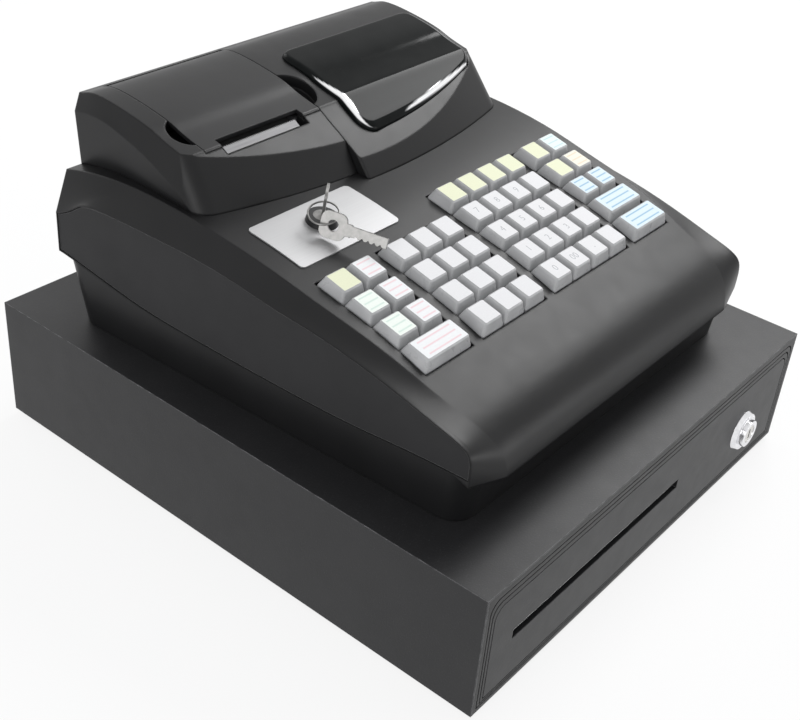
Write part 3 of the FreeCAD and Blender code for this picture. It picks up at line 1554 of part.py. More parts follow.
def main():
    os.makedirs("parts", exist_ok=True)
    low = feet_height
    for name, shape in (
            ("drawer_case", drawer_case()),
            ("drawer_bezel", drawer_bezel()),
            ("case_rollers", roller_pair(case_roller_y)),
            ("tray_rollers", roller_pair(tray_roller_y)),
            ("rubber_feet", rubber_feet()),
            ("drawer_tray", drawer_tray()),
            ("drawer_front", drawer_front()),
            ("lock_ring", lock_ring()),
            ("lock_plug", lock_plug()),
            ("till_insert", till_insert()),
            ("clip_rod", clip_rod()),
            ("latch_hook", latch_hook()),
            ("solenoid", solenoid()),
            ("plunger", plunger())):
        export(name, shape, low)
    for i in range(till_columns):
        x = -till_half_width + till_wall + till_cell / 2 + i * (till_cell + till_wall)
        export("bill_clip_" + str(i + 1), bill_clip(x), low)

    outer = body_solid(0, 0, 0)
    deck = upper_case(outer)
    plate = label_plate(outer)
    hump = hump_solid()
    high = register_base
    for name, shape in (
            ("upper_case", deck),
            ("lower_case", lower_case()),
            ("side_panel_left", side_panel(-1)),
            ("side_panel_right", side_panel(1)),
            ("key_guide", key_guide(deck)),
            ("label_plate", plate),
            ("mode_lock", mode_lock(outer, plate)),
            ("mode_key", mode_key()),
            ("key_ring", key_ring()),
            ("spare_key", spare_key()),
            ("printer_housing", printer_housing(hump, outer)),
            ("printer_cover", printer_cover(hump)),
            ("tear_bar", tear_bar(hump)),
            ("paper_roll", paper_roll()),
            ("platen_roller", platen_roller()),
            ("print_mechanism", print_mechanism()),
            ("display_pod", display_pod(hump, outer)),
            ("display_window", display_window(hump)),
            ("power_inlet", power_inlet()),
            ("power_switch", power_switch())):
        export(name, shape, high)

    for side_name, centre in (("left", left_block_x), ("far", far_block_x)):
        columns = key_columns(centre, 2)
        first = 2 if side_name == "left" else 1
        last_single = 4 if side_name == "left" else 3
        for row in range(first, last_single + 1):
            for i, x in enumerate(columns):
                name = "key_" + side_name + "_" + str(row) + "_" + str(i + 1)
                export(name, key_cap(x, row, 1), high)
        for row in range(last_single + 1, 6):
            export("key_" + side_name + "_" + str(row) + "_wide", key_cap(centre, row, 2), high)
    for block_name, centre, count, first in (("middle", middle_block_x, 3, 2),
                                             ("right", right_block_x, 4, 1)):
        for i, x in enumerate(key_columns(centre, count)):
            caps = [key_cap(x, row, 1) for row in range(first, 6)]
            export("keys_" + block_name + "_" + str(i + 1), Part.makeCompound(caps), high)


main()
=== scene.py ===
# %% [markdown]
# # A ticket register on its cash drawer
# The CAD model gives every solid its true place and size. This lesson dresses it: it sets up the
# camera and a soft studio, mixes a finish for each material of the real machine, and builds the
# pieces whose looks need more than the CAD solids, such as the key caps with their labels and
# the glossy lens. Everything is in metres, in the frame of the CAD model.

# %% Load the CAD model as a fixed frame
import json
import math
import bpy
import numpy as np
from mathutils import Matrix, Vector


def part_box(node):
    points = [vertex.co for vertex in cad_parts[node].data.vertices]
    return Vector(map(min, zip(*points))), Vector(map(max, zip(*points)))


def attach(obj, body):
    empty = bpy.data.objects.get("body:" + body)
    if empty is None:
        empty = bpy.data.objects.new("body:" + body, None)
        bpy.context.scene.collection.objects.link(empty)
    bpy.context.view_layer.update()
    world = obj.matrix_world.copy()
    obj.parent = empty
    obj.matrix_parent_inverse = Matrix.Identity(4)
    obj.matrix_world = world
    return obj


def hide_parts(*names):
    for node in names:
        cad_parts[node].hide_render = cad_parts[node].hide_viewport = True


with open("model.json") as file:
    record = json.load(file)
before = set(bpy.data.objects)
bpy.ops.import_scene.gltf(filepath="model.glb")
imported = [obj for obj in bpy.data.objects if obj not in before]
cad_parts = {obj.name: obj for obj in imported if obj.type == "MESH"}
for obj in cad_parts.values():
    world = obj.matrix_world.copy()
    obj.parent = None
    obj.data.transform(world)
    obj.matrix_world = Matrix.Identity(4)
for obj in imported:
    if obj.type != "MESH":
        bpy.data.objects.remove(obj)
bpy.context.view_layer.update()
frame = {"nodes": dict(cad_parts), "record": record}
solids = frame["nodes"]
body_of_node = {name: body for body, names in frame["record"]["behaviour"]["bodies"].items()
                for name in names}
MM = 0.001

# %% [markdown]
# ## Camera
# The photograph looks down on the left front corner of the machine from about a third of a right
# angle above the counter, with the camera rolled a little. A camera's matrix has its own right,
# up and back directions as columns, so the roll is a turn of right and up about back.

# %% Camera
def camera_axes(azimuth, elevation, roll):
    """Right, up and back of a camera, from its angle round the object, its height and its roll."""
    a, e, r = (math.radians(v) for v in (azimuth, elevation, roll))
    back = np.array([math.sin(a) * math.cos(e), -math.cos(a) * math.cos(e), math.sin(e)])
    right = np.cross([0.0, 0.0, 1.0], back)
    right /= np.linalg.norm(right)
    up = np.cross(back, right)
    return right * math.cos(r) + up * math.sin(r), up * math.cos(r) - right * math.sin(r), back


FOCAL_LENGTH, SENSOR_WIDTH = 57.86, 36.0
AZIMUTH, ELEVATION, ROLL = -53.294, 33.674, 5.275
CAMERA_PLACE = (-0.5512, -0.4023, 0.5074)
eye = bpy.data.cameras.new("eye")
eye.lens = FOCAL_LENGTH
eye.sensor_width = SENSOR_WIDTH
camera = bpy.data.objects.new("camera", eye)
bpy.context.scene.collection.objects.link(camera)
matrix = np.eye(4)
matrix[:3, :3] = np.array(camera_axes(AZIMUTH, ELEVATION, ROLL)).T
matrix[:3, 3] = CAMERA_PLACE
camera.matrix_world = Matrix(matrix.tolist())
bpy.context.scene.camera = camera
bpy.context.scene.view_settings.view_transform = "Standard"
print("camera stands at", CAMERA_PLACE)

# %% [markdown]
# ## Studio
# Black plastic shows mostly what it mirrors, so the studio matters more than the paint. Soft lamps
# stand where the slopes of the machine mirror them to the camera: a bright one high on the right
# for the brow and the deck, a low one on the left for the walls, a weak one over the rear, and a
# weak low one in front for the upright faces. The background is white only for rays that look at
# it, mirror it or pass through glass, and the light that it sheds on the object stays plain.

# %% World and lamps
def watched(links, nodes, path_names):
    """One number that is 1 for the named kinds of ray and 0 for the others: the largest of them."""
    rays = nodes.new("ShaderNodeLightPath")
    total = rays.outputs[path_names[0]]
    for name in path_names[1:]:
        larger = nodes.new("ShaderNodeMath")
        larger.operation = "MAXIMUM"
        links.new(total, larger.inputs[0])
        links.new(rays.outputs[name], larger.inputs[1])
        total = larger.outputs[0]
    return total


LOOKING = ("Is Camera Ray", "Is Glossy Ray", "Is Transmission Ray")
SHED_STRENGTH = 0.62
world = bpy.data.worlds.new("studio")
world.use_nodes = True
bpy.context.scene.world = world
sky = world.node_tree
sky.nodes.clear()
seen_white = sky.nodes.new("ShaderNodeBackground")
seen_white.inputs["Color"].default_value = (1.0, 1.0, 1.0, 1.0)
shed_light = sky.nodes.new("ShaderNodeBackground")
shed_light.inputs["Color"].default_value = (0.97, 0.98, 1.0, 1.0)
shed_light.inputs["Strength"].default_value = SHED_STRENGTH
either = sky.nodes.new("ShaderNodeMixShader")
sky_out = sky.nodes.new("ShaderNodeOutputWorld")
sky.links.new(watched(sky.links, sky.nodes, LOOKING), either.inputs[0])
sky.links.new(shed_light.outputs[0], either.inputs[1])
sky.links.new(seen_white.outputs[0], either.inputs[2])
sky.links.new(either.outputs[0], sky_out.inputs[0])


def soft_lamp(name, place, target, size, power):
    """A square area lamp at a place, turned so that its back points away from its target."""
    lamp = bpy.data.lights.new(name, "AREA")
    lamp.size = size
    lamp.energy = power
    holder = bpy.data.objects.new(name, lamp)
    bpy.context.scene.collection.objects.link(holder)
    back = np.array(place, float) - np.array(target, float)
    back /= np.linalg.norm(back)
    side = np.cross([0.0, 1.0, 0.2], back)
    side /= np.linalg.norm(side)
    turned = np.eye(4)
    turned[:3, :3] = np.array([side, np.cross(back, side), back]).T
    turned[:3, 3] = place
    holder.matrix_world = Matrix(turned.tolist())
    return holder


# Name, place, target, side of the square in metres and power in watts of each lamp
LAMPS = (
    ("lamp_right", (1.05, 0.05, 1.20), (0.0, 0.0, 0.15), 0.70, 15.0),
    ("lamp_left", (-1.35, -0.30, 0.60), (0.0, 0.0, 0.10), 0.80, 7.0),
    ("lamp_rear", (0.10, 1.30, 0.90), (0.0, 0.0, 0.15), 0.70, 3.0),
    ("lamp_front", (0.60, -1.10, 0.22), (0.0, 0.0, 0.14), 0.50, 2.2),
)
lamps = [soft_lamp(*row) for row in LAMPS]
print("lamps:", [lamp.name for lamp in lamps])

# %% [markdown]
# ## Floor
# The floor is a pale sheet that goes white for the camera but still darkens where the machine
# keeps the light off it. It mixes a plain diffuse surface with an even white for looking rays.

# %% Floor
FLOOR_REACH = 4.0
FLOOR_SHADE = 0.86
WHITE_SHARE = 0.85
floor_mesh = bpy.data.meshes.new("floor")
corners = [(sx * FLOOR_REACH, sy * FLOOR_REACH, 0.0)
           for sx, sy in ((-1, -1), (1, -1), (1, 1), (-1, 1))]
floor_mesh.from_pydata(corners, [], [(0, 1, 2, 3)])
floor = bpy.data.objects.new("floor", floor_mesh)
bpy.context.scene.collection.objects.link(floor)
paper = bpy.data.materials.new("studio_paper")
paper.use_nodes = True
tree = paper.node_tree
tree.nodes.clear()
matte = tree.nodes.new("ShaderNodeBsdfDiffuse")
matte.inputs["Color"].default_value = (FLOOR_SHADE, FLOOR_SHADE, FLOOR_SHADE, 1.0)
bright = tree.nodes.new("ShaderNodeEmission")
share = tree.nodes.new("ShaderNodeMath")
share.operation = "MULTIPLY"
share.inputs[1].default_value = WHITE_SHARE
tree.links.new(watched(tree.links, tree.nodes, LOOKING), share.inputs[0])
laid = tree.nodes.new("ShaderNodeMixShader")
tree.links.new(share.outputs[0], laid.inputs[0])
tree.links.new(matte.outputs[0], laid.inputs[1])
tree.links.new(bright.outputs[0], laid.inputs[2])
floor_out = tree.nodes.new("ShaderNodeOutputMaterial")
tree.links.new(laid.outputs[0], floor_out.inputs[0])
floor_mesh.materials.append(paper)
print("floor reaches", FLOOR_REACH, "m each way")

# %% [markdown]
# ## Finishes
# Each finish starts from one small kit: a shader, noise in Object coordinates at the scale of the
# real grain, ramps that turn the noise into colour and roughness, and a bump. Numbers that are the
# same all over are written on the shader's own sockets.

class Finish:
    """A material under construction: its nodes, its links, its shader and its coordinates."""

    def __init__(self, name, rough=0.5, metal=0.0, coordinate="Object", mirror=0.5):
        self.made = bpy.data.materials.new(name)
        self.made.use_nodes = True
        self.nodes = self.made.node_tree.nodes
        self.links = self.made.node_tree.links
        self.shader = self.nodes["Principled BSDF"]
        self.shader.inputs["Roughness"].default_value = rough
        self.shader.inputs["Metallic"].default_value = metal
        self.shader.inputs["Specular IOR Level"].default_value = mirror
        self.place = self.nodes.new("ShaderNodeTexCoord").outputs[coordinate]

    def stretched(self, scale):
        """The coordinates times three factors, one for each of X, Y and Z."""
        mapping = self.nodes.new("ShaderNodeMapping")
        mapping.inputs["Scale"].default_value = scale
        self.links.new(self.place, mapping.inputs["Vector"])
        return mapping.outputs[0]

    def noise(self, grain, detail=2.0, place=None):
        """Smooth noise whose blots are about one grain wide, in metres."""
        texture = self.nodes.new("ShaderNodeTexNoise")
        texture.inputs["Scale"].default_value = 1.0 / grain
        texture.inputs["Detail"].default_value = detail
        self.links.new(place or self.place, texture.inputs["Vector"])
        return texture.outputs["Fac"]

    def between(self, value, low, high, start=0.3, end=0.7):
        """Spreads a number, from start to end, over the range of two greys or two colours."""
        band = self.nodes.new("ShaderNodeValToRGB")
        for stop, position, shade in zip(band.color_ramp.elements, (start, end), (low, high)):
            stop.position = position
            stop.color = (*shade, 1.0) if hasattr(shade, "__len__") else (shade,) * 3 + (1.0,)
        self.links.new(value, band.inputs[0])
        return band.outputs[0]

    def mixed(self, factor, low, high):
        """A colour that goes from low to high as the factor goes from 0 to 1."""
        mix = self.nodes.new("ShaderNodeMix")
        mix.data_type = "RGBA"
        sockets = [s for s in mix.inputs if s.type == "RGBA"]
        for socket, value in zip(sockets, (low, high)):
            if hasattr(value, "links"):
                self.links.new(value, socket)
            else:
                socket.default_value = (*value, 1.0)
        self.links.new(factor, mix.inputs[0])
        return next(s for s in mix.outputs if s.type == "RGBA")

    def feed(self, socket, value):
        """Links a value to one of the shader's sockets."""
        self.links.new(value, self.shader.inputs[socket])

    def relief(self, height, depth, soft_edge=0.0):
        """Bump of a depth in metres, over normals rounded near edges by a radius."""
        bump = self.nodes.new("ShaderNodeBump")
        bump.inputs["Strength"].default_value = 1.0
        bump.inputs["Distance"].default_value = depth
        self.links.new(height, bump.inputs["Height"])
        if soft_edge:
            rounding = self.nodes.new("ShaderNodeBevel")
            rounding.samples = 4
            rounding.inputs["Radius"].default_value = soft_edge
            self.links.new(rounding.outputs[0], bump.inputs["Normal"])
        self.feed("Normal", bump.outputs[0])

    def edge(self, radius, start=0.02, end=0.35):
        """A mask that is 1 on the object's sharp edges: how far a rounded normal leans away."""
        rounding = self.nodes.new("ShaderNodeBevel")
        rounding.samples = 4
        rounding.inputs["Radius"].default_value = radius
        flat = self.nodes.new("ShaderNodeNewGeometry")
        lean = self.nodes.new("ShaderNodeVectorMath")
        lean.operation = "DOT_PRODUCT"
        self.links.new(rounding.outputs[0], lean.inputs[0])
        self.links.new(flat.outputs["Normal"], lean.inputs[1])
        spread = self.nodes.new("ShaderNodeMapRange")
        spread.inputs["From Min"].default_value = 1.0 - start
        spread.inputs["From Max"].default_value = 1.0 - end
        self.links.new(lean.outputs["Value"], spread.inputs["Value"])
        return spread.outputs[0]


def moulded_plastic(name, shade, rough, grain, depth, soft_edge, mirror, line=0.0):
    """Moulding: faint clouds of one shade, uneven gloss, a fine eroded grain, and edges made paler
    by a painted highlight.
    """
    f = Finish(name, mirror=mirror)
    dark, light = (tuple(v * factor for v in shade) for factor in (0.88, 1.12))
    colour = f.between(f.noise(45 * MM, 2.0), dark, light)
    # Painted highlight: the line amount lightens the edges, as if light caught their rounding
    if line:
        colour = f.mixed(f.edge(soft_edge), colour, tuple(v + line for v in shade))
    f.feed("Base Color", colour)
    f.feed("Roughness", f.between(f.noise(14 * MM, 2.0), rough - 0.02, rough + 0.02))
    f.relief(f.noise(grain, 2.0), depth, soft_edge)
    return f.made


BLACK = (0.0085, 0.0085, 0.0090)
NYLON = (0.68, 0.66, 0.60)
# Slot, name, times black, roughness, grain, its depth and soft edge in millimetres, mirror, and
# line: how much the painted edge highlight lightens the edges
PLASTICS = (
    ("body_plastic", "eroded_black", 1.0, 0.37, 0.5, 0.020, 1.6, 0.22, 0.0),
    ("cover_plastic", "satin_black", 1.3, 0.36, 0.5, 0.012, 0.8, 0.27, 0.0),
    ("panel_plastic", "matte_black", 1.9, 0.55, 0.7, 0.040, 0.9, 0.22, 0.20),
    ("frame_plastic", "frame_black", 1.3, 0.42, 0.6, 0.030, 0.6, 0.26, 0.06),
    ("till_plastic", "till_black", 2.6, 0.45, 0.8, 0.050, 0.8, 0.4, 0.03),
    ("guide_plastic", "guide_black", 0.4, 0.60, 0.8, 0.050, 0.2, 0.2, 0.0),
    ("barrel_plastic", "barrel_black", 0.5, 0.30, 0.4, 0.010, 0.4, 0.4, 0.0),
    ("mechanism_plastic", "mechanism_grey", 5.0, 0.50, 0.8, 0.050, 0.2, 0.4, 0.0),
    ("inlet_plastic", "inlet_black", 1.6, 0.42, 0.6, 0.030, 0.3, 0.4, 0.03),
)
finishes = {}
for slot, name, factor, rough, grain, depth, soft, mirror, line in PLASTICS:
    finishes[slot] = moulded_plastic(name, tuple(v * factor for v in BLACK), rough, grain * MM,
                                     depth * MM, soft * MM, mirror, line)
finishes["roller_plastic"] = moulded_plastic("nylon", NYLON, 0.45, 0.8 * MM, 0.03 * MM,
                                             0.3 * MM, 0.5)
print("plastics:", len(finishes))

# %% [markdown]
# ## Powder coat
# The drawer is folded steel under a powder coat, which is a fine orange peel with lighter specks.
# The coat is worn thin along the folds, so the edges are paler there, and these paler edges also
# stand as a painted highlight on the folds.

# %% Powder coat and rubber
WORN_EDGE_AND_HIGHLIGHT = (0.30, 0.30, 0.31)


def powder_coat(name, dark, light, wear_and_highlight, rough=0.42):
    """Orange peel from noise, specks where a finer noise peaks, and worn edges that also paint the
    highlight on the folds.
    """
    f = Finish(name, mirror=0.28)
    specks = f.between(f.noise(0.7 * MM, 1.0), 0.0, 1.0, 0.62, 0.74)
    ground = f.between(f.noise(40 * MM, 3.0), dark, light)
    coat = f.mixed(specks, ground, tuple(v * 1.8 for v in light))
    # Worn edges, made paler also as a painted highlight along the folds
    ragged = f.nodes.new("ShaderNodeMath")
    ragged.operation = "MULTIPLY"
    f.links.new(f.edge(1.0 * MM), ragged.inputs[0])
    f.links.new(f.between(f.noise(6 * MM, 4.0), 0.15, wear_and_highlight, 0.35, 0.65), ragged.inputs[1])
    f.feed("Base Color", f.mixed(ragged.outputs[0], coat, WORN_EDGE_AND_HIGHLIGHT))
    f.feed("Roughness", f.between(f.noise(12 * MM, 2.0), rough - 0.02, rough + 0.02))
    f.relief(f.noise(1.1 * MM, 2.0), 0.05 * MM, 0.8 * MM)
    return f.made


finishes["case_paint"] = powder_coat("powder_coat", (0.013, 0.013, 0.014),
                                     (0.016, 0.016, 0.017), 0.9)
finishes["front_paint"] = powder_coat("front_coat", (0.012, 0.012, 0.013),
                                      (0.015, 0.015, 0.016), 0.4)
rubber = Finish("rubber", 0.8)
rubber.feed("Base Color", rubber.between(rubber.noise(5 * MM), 0.012, 0.022))
rubber.relief(rubber.noise(0.9 * MM), 0.1 * MM)
finishes["foot_rubber"] = finishes["platen_rubber"] = rubber.made
print("coats and rubber ready")

# %% [markdown]
# ## Metals
# Rolled or brushed sheet has long fine scratches one way, so its noise is stretched along the
# sheet. Chrome and nickel are smooth, with faint smudges in their gloss.

# %% Metals
METAL_EDGE = 0.3 * MM


def brushed_metal(name, dark, light, rough, along):
    """Bare metal with scratches: noise drawn out by three factors gives shade, gloss and relief."""
    f = Finish(name, rough, 1.0)
    lines = f.noise(1.0, 3.0, f.stretched(along))
    f.feed("Base Color", f.between(lines, dark, light))
    f.feed("Roughness", f.between(lines, rough - 0.03, rough + 0.05))
    f.relief(lines, 0.003 * MM, METAL_EDGE)
    return f.made


def polished_metal(name, dark, light, rough):
    """Plated metal: nearly even shade, with smudges a few millimetres wide in the gloss."""
    f = Finish(name, rough, 1.0)
    smudge = f.noise(4 * MM, 3.0)
    f.feed("Base Color", f.between(smudge, dark, light))
    f.feed("Roughness", f.between(smudge, rough, rough + 0.12, 0.35, 0.75))
    f.relief(f.noise(1.5 * MM, 2.0), 0.01 * MM, METAL_EDGE)
    return f.made


# Slot, name, darker shade, lighter shade, roughness and how often the lines repeat along X, Y, Z
for slot, name, dark, light, rough, along in (
        ("zinc_steel", "zinc_sheet", (0.50, 0.50, 0.51), (0.62, 0.62, 0.63), 0.35,
         (300.0, 20.0, 300.0)),
        ("clip_steel", "spring_steel", (0.42, 0.42, 0.43), (0.55, 0.55, 0.56), 0.28,
         (900.0, 30.0, 900.0)),
        ("tear_metal", "tear_steel", (0.060, 0.060, 0.062), (0.10, 0.10, 0.102), 0.40,
         (40.0, 1500.0, 1500.0)),
        ("solenoid_steel", "solenoid_steel", (0.20, 0.20, 0.21), (0.30, 0.30, 0.31), 0.40,
         (500.0, 40.0, 500.0)),
        ("plate_metal", "silver_plate", (0.37, 0.37, 0.375), (0.41, 0.41, 0.415), 0.55,
         (12.0, 3000.0, 3000.0))):
    finishes[slot] = brushed_metal(name, dark, light, rough, along)
for slot, name, dark, light, rough in (
        ("lock_chrome", "chrome", (0.72, 0.72, 0.74), (0.86, 0.86, 0.88), 0.08),
        ("lock_brass", "turned_nickel", (0.55, 0.54, 0.52), (0.70, 0.69, 0.66), 0.22),
        ("key_metal", "nickel", (0.17, 0.17, 0.165), (0.27, 0.265, 0.26), 0.30)):
    finishes[slot] = polished_metal(name, dark, light, rough)
roll = Finish("thermal_paper", 0.75)
roll.feed("Base Color", roll.between(roll.noise(0.4 * MM), (0.80, 0.80, 0.78), (0.90, 0.90, 0.88)))
roll.relief(roll.noise(0.3 * MM), 0.01 * MM)
finishes["roll_paper"] = roll.made
print("finishes:", len(finishes))

# %% [markdown]
# ## Dressing the CAD nodes
# The record says which finish each node takes. A CAD node keeps its mesh and only gets a
# material in its slot, so its shape stays the shape of the CAD model.

# %% Put the finishes on the nodes
slot_of_node = {part["node"]: part["material_slot"] for part in frame["record"]["subparts"]}
for name, solid in solids.items():
    if slot_of_node[name] in finishes:
        solid.data.materials.clear()
        solid.data.materials.append(finishes[slot_of_node[name]])
print("dressed:", sum(slot_of_node[n] in finishes for n in solids), "of", len(solids))

# %% [markdown]
# ## A helper for new pieces
# A new piece is a grid of points, or stacked rings of points, worked out as whole arrays. The
# faces of such a grid follow from its counts alone.

# %% Grids and rings to meshes
def grid_faces(rows, columns, closed=False, start=0):
    """Quads between neighbouring rows and columns, wrapping round where the rows are rings."""
    spans = columns if closed else columns - 1
    r, c = np.meshgrid(np.arange(rows - 1), np.arange(spans), indexing="ij")
    after = (c + 1) % columns
    quads = np.stack([r * columns + c, r * columns + after, (r + 1) * columns + after,
                      (r + 1) * columns + c], axis=-1)
    return quads.reshape(-1, 4) + start


def add_piece(name, points, faces, body, materials, smooth=True):
    """Makes a mesh object from arrays, gives it its materials and lets it ride on a body."""
    mesh = bpy.data.meshes.new(name)
    mesh.from_pydata(np.asarray(points, float).tolist(), [], [list(map(int, f)) for f in faces])
    for material in materials:
        mesh.materials.append(material)
    mesh.polygons.foreach_set("use_smooth", np.full(len(mesh.polygons), smooth))
    mesh.update()
    piece = bpy.data.objects.new(name, mesh)
    bpy.context.scene.collection.objects.link(piece)
    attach(piece, body)
    return piece


print("helpers ready")

# %% [markdown]
# ## Key caps
# Each key is a clear tapered cap over a printed card. Seen from above, the card is bright and the
# sloping walls are grey. A cap is built as rings: rounded rectangles of changing size, stacked
# from the foot of the skirt up the taper and over a small rounding to the flat top. The inner
# part of the top is the card, and it carries its own UV map from 0 to 1 both ways, so that the
# printed bars follow the key and not the machine.

# %% Where the keys are
SLOPE = math.radians(14.1)
PITCH = 19.5 * MM
MIDDLE_ROW, LAST_ROW = 3, 5
ORIGIN = np.array([0.0, -52.4, 167.0]) * MM
UP_SLOPE = np.array([0.0, math.cos(SLOPE), math.sin(SLOPE)])
DOWN = np.array([0.0, math.sin(SLOPE), -math.cos(SLOPE)])
SIDEWAYS = np.array([1.0, 0.0, 0.0])


def on_keyboard(across, up, depth):
    """Point on the sloping key plane: across, up the slope and down below the key tops."""
    return ORIGIN + np.multiply.outer(across, SIDEWAYS) + np.multiply.outer(up, UP_SLOPE) \
        + np.multiply.outer(depth, DOWN)


def row_place(row):
    """Place of a row up the slope from the middle row, one pitch for each row."""
    return (MIDDLE_ROW - row) * PITCH


def rounded_ring(half_x, half_v, corner, count=5):
    """A rounded rectangle: four quarter circles of the corner radius, set in from the sides."""
    turn = np.linspace(0.0, math.pi / 2, count)
    across, up = [], []
    for quarter in range(4):
        angle = turn + quarter * math.pi / 2
        sx = 1.0 if quarter in (0, 3) else -1.0
        sv = 1.0 if quarter in (0, 1) else -1.0
        across.append(sx * (half_x - corner) + corner * np.cos(angle))
        up.append(sv * (half_v - corner) + corner * np.sin(angle))
    return np.concatenate(across), np.concatenate(up)


# Depth under the key top, half side and corner radius of each ring in millimetres
CAP_RINGS = ((9.6, 9.45, 1.6), (6.6, 9.45, 1.8), (6.1, 9.36, 1.9), (0.75, 7.50, 1.5),
             (0.30, 7.36, 1.4), (0.06, 7.10, 1.2), (0.0, 6.86, 1.0), (-0.28, 6.72, 0.8),
             (-0.38, 6.55, 0.6))
STEM_RINGS = ((18.6, 2.5, 0.4), (7.0, 2.5, 0.4))


def cap_shell(centre, row_up, wide):
    """Points, faces and the card's face of one cap: stacked rings closed by a face at each end."""
    extra = (wide - 1) * PITCH / 2
    stacks = []
    for depth, half, corner in CAP_RINGS:
        x, v = rounded_ring(half * MM + extra, half * MM, corner * MM)
        stacks.append(on_keyboard(centre + x, row_up + v, depth * MM))
    count = len(x)
    points = [np.concatenate(stacks)]
    faces = [tuple(f) for f in grid_faces(len(stacks), count, closed=True)]
    card = tuple(range(count * (len(stacks) - 1), count * len(stacks)))
    faces.append(tuple(reversed(range(count))))
    start = count * len(stacks)
    for i in range(wide):
        at = centre + (i - (wide - 1) / 2) * PITCH
        for depth, half, corner in STEM_RINGS:
            x, v = rounded_ring(half * MM, half * MM, corner * MM)
            points.append(on_keyboard(at + x, row_up + v, depth * MM))
        faces += [tuple(f) for f in grid_faces(2, count, closed=True, start=start)]
        faces.append(tuple(reversed(range(start, start + count))))
        start += 2 * count
    return np.concatenate(points), faces, card


print("a cap has", len(CAP_RINGS), "rings")

# %% [markdown]
# ## Cards under the caps
# The cards are pale paper seen through clear plastic. The printed legends are shown as plain
# coloured bars, and the number keys have plain numbers. The bars come from the height on the
# card: it is multiplied by the number of bars, and the middle of each step is inked.

# %% Cap plastic and cards
cap = Finish("clear_cap", 0.28)
cap.feed("Base Color", cap.between(cap.noise(9 * MM, 1.0), (0.36, 0.363, 0.368),
                                   (0.42, 0.423, 0.428)))
cap.feed("Roughness", cap.between(cap.noise(6 * MM), 0.26, 0.34))
cap.relief(cap.noise(4 * MM, 1.0), 0.02 * MM, 0.3 * MM)
cap.shader.inputs["Coat Weight"].default_value = 0.2
cap.shader.inputs["Coat Roughness"].default_value = 0.25

# On a card that is 1 wide and 1 high: the size of a fibre and the margin beside the bars
FIBRE = 1 / 14
CARD_MARGIN = 0.10
BAR_STEEPNESS = 5.5


def card(name, paper_colour, ink=None, bars=0, ink_amount=0.6):
    """Paper with bars: fractions of the height times the bar count, kept off the card's rim."""
    f = Finish(name, 0.55, 0.0, "UV", 0.12)
    fibres = f.noise(FIBRE)
    sheet = f.between(fibres, tuple(v * 0.95 for v in paper_colour), paper_colour)
    f.relief(fibres, 0.02 * MM)
    if not bars:
        f.feed("Base Color", sheet)
        return f.made
    parts = f.nodes.new("ShaderNodeSeparateXYZ")
    f.links.new(f.place, parts.inputs[0])

    def step(operation, a, b):
        """One sum of two values, each a plain number or a link."""
        node = f.nodes.new("ShaderNodeMath")
        node.operation = operation
        for socket, value in zip(node.inputs, (a, b)):
            if hasattr(value, "links"):
                f.links.new(value, socket)
            else:
                socket.default_value = value
        return node.outputs[0]

    height = step("FRACT", step("MULTIPLY", parts.outputs["Y"], float(bars)), 0.0)
    off_line = step("ABSOLUTE", step("SUBTRACT", height, 0.5), 0.0)
    line = step("SUBTRACT", 1.0, step("MINIMUM", step("MULTIPLY", off_line, BAR_STEEPNESS), 1.0))
    inside = step("MULTIPLY", step("GREATER_THAN", parts.outputs["X"], CARD_MARGIN),
                  step("LESS_THAN", parts.outputs["X"], 1.0 - CARD_MARGIN))
    mask = step("MULTIPLY", step("MULTIPLY", line, inside), ink_amount)
    f.feed("Base Color", f.mixed(mask, sheet, ink))
    return f.made


PALE = (0.72, 0.72, 0.73)
WHITE = (0.80, 0.81, 0.82)
YELLOW = (0.74, 0.76, 0.56)
cards = {
    "grey": card("card_grey", PALE),
    "yellow": card("card_yellow", YELLOW),
    "pink": card("card_pink_bars", WHITE, (0.75, 0.38, 0.42), 3),
    "green": card("card_green_bars", (0.80, 0.85, 0.80), (0.42, 0.60, 0.52), 3),
    "teal": card("card_teal_bars", (0.72, 0.80, 0.80), (0.30, 0.55, 0.58), 3),
    "orange": card("card_orange_bars", (0.80, 0.78, 0.68), (0.72, 0.50, 0.30), 3),
    "blue": card("card_blue_bars", (0.66, 0.76, 0.82), (0.10, 0.33, 0.52), 3, 0.8),
}
CARD_OF_KEY = {
    "key_left_2_1": "yellow", "key_left_2_2": "pink",
    "key_left_3_1": "green", "key_left_3_2": "pink",
    "key_left_4_1": "green", "key_left_4_2": "pink",
    "key_left_5_wide": "pink",
    "key_far_1_1": "yellow", "key_far_1_2": "teal",
    "key_far_2_1": "yellow", "key_far_2_2": "orange",
    "key_far_3_1": "blue", "key_far_3_2": "blue",
    "key_far_4_wide": "blue", "key_far_5_wide": "blue",
}
print("cards:", sorted(cards))

# %% [markdown]
# ## Build every cap
# A single key names its row. A column of keys has a cap in every row from its first row down to
# row 5. The middle of each column across the machine is read from the box of its CAD node.

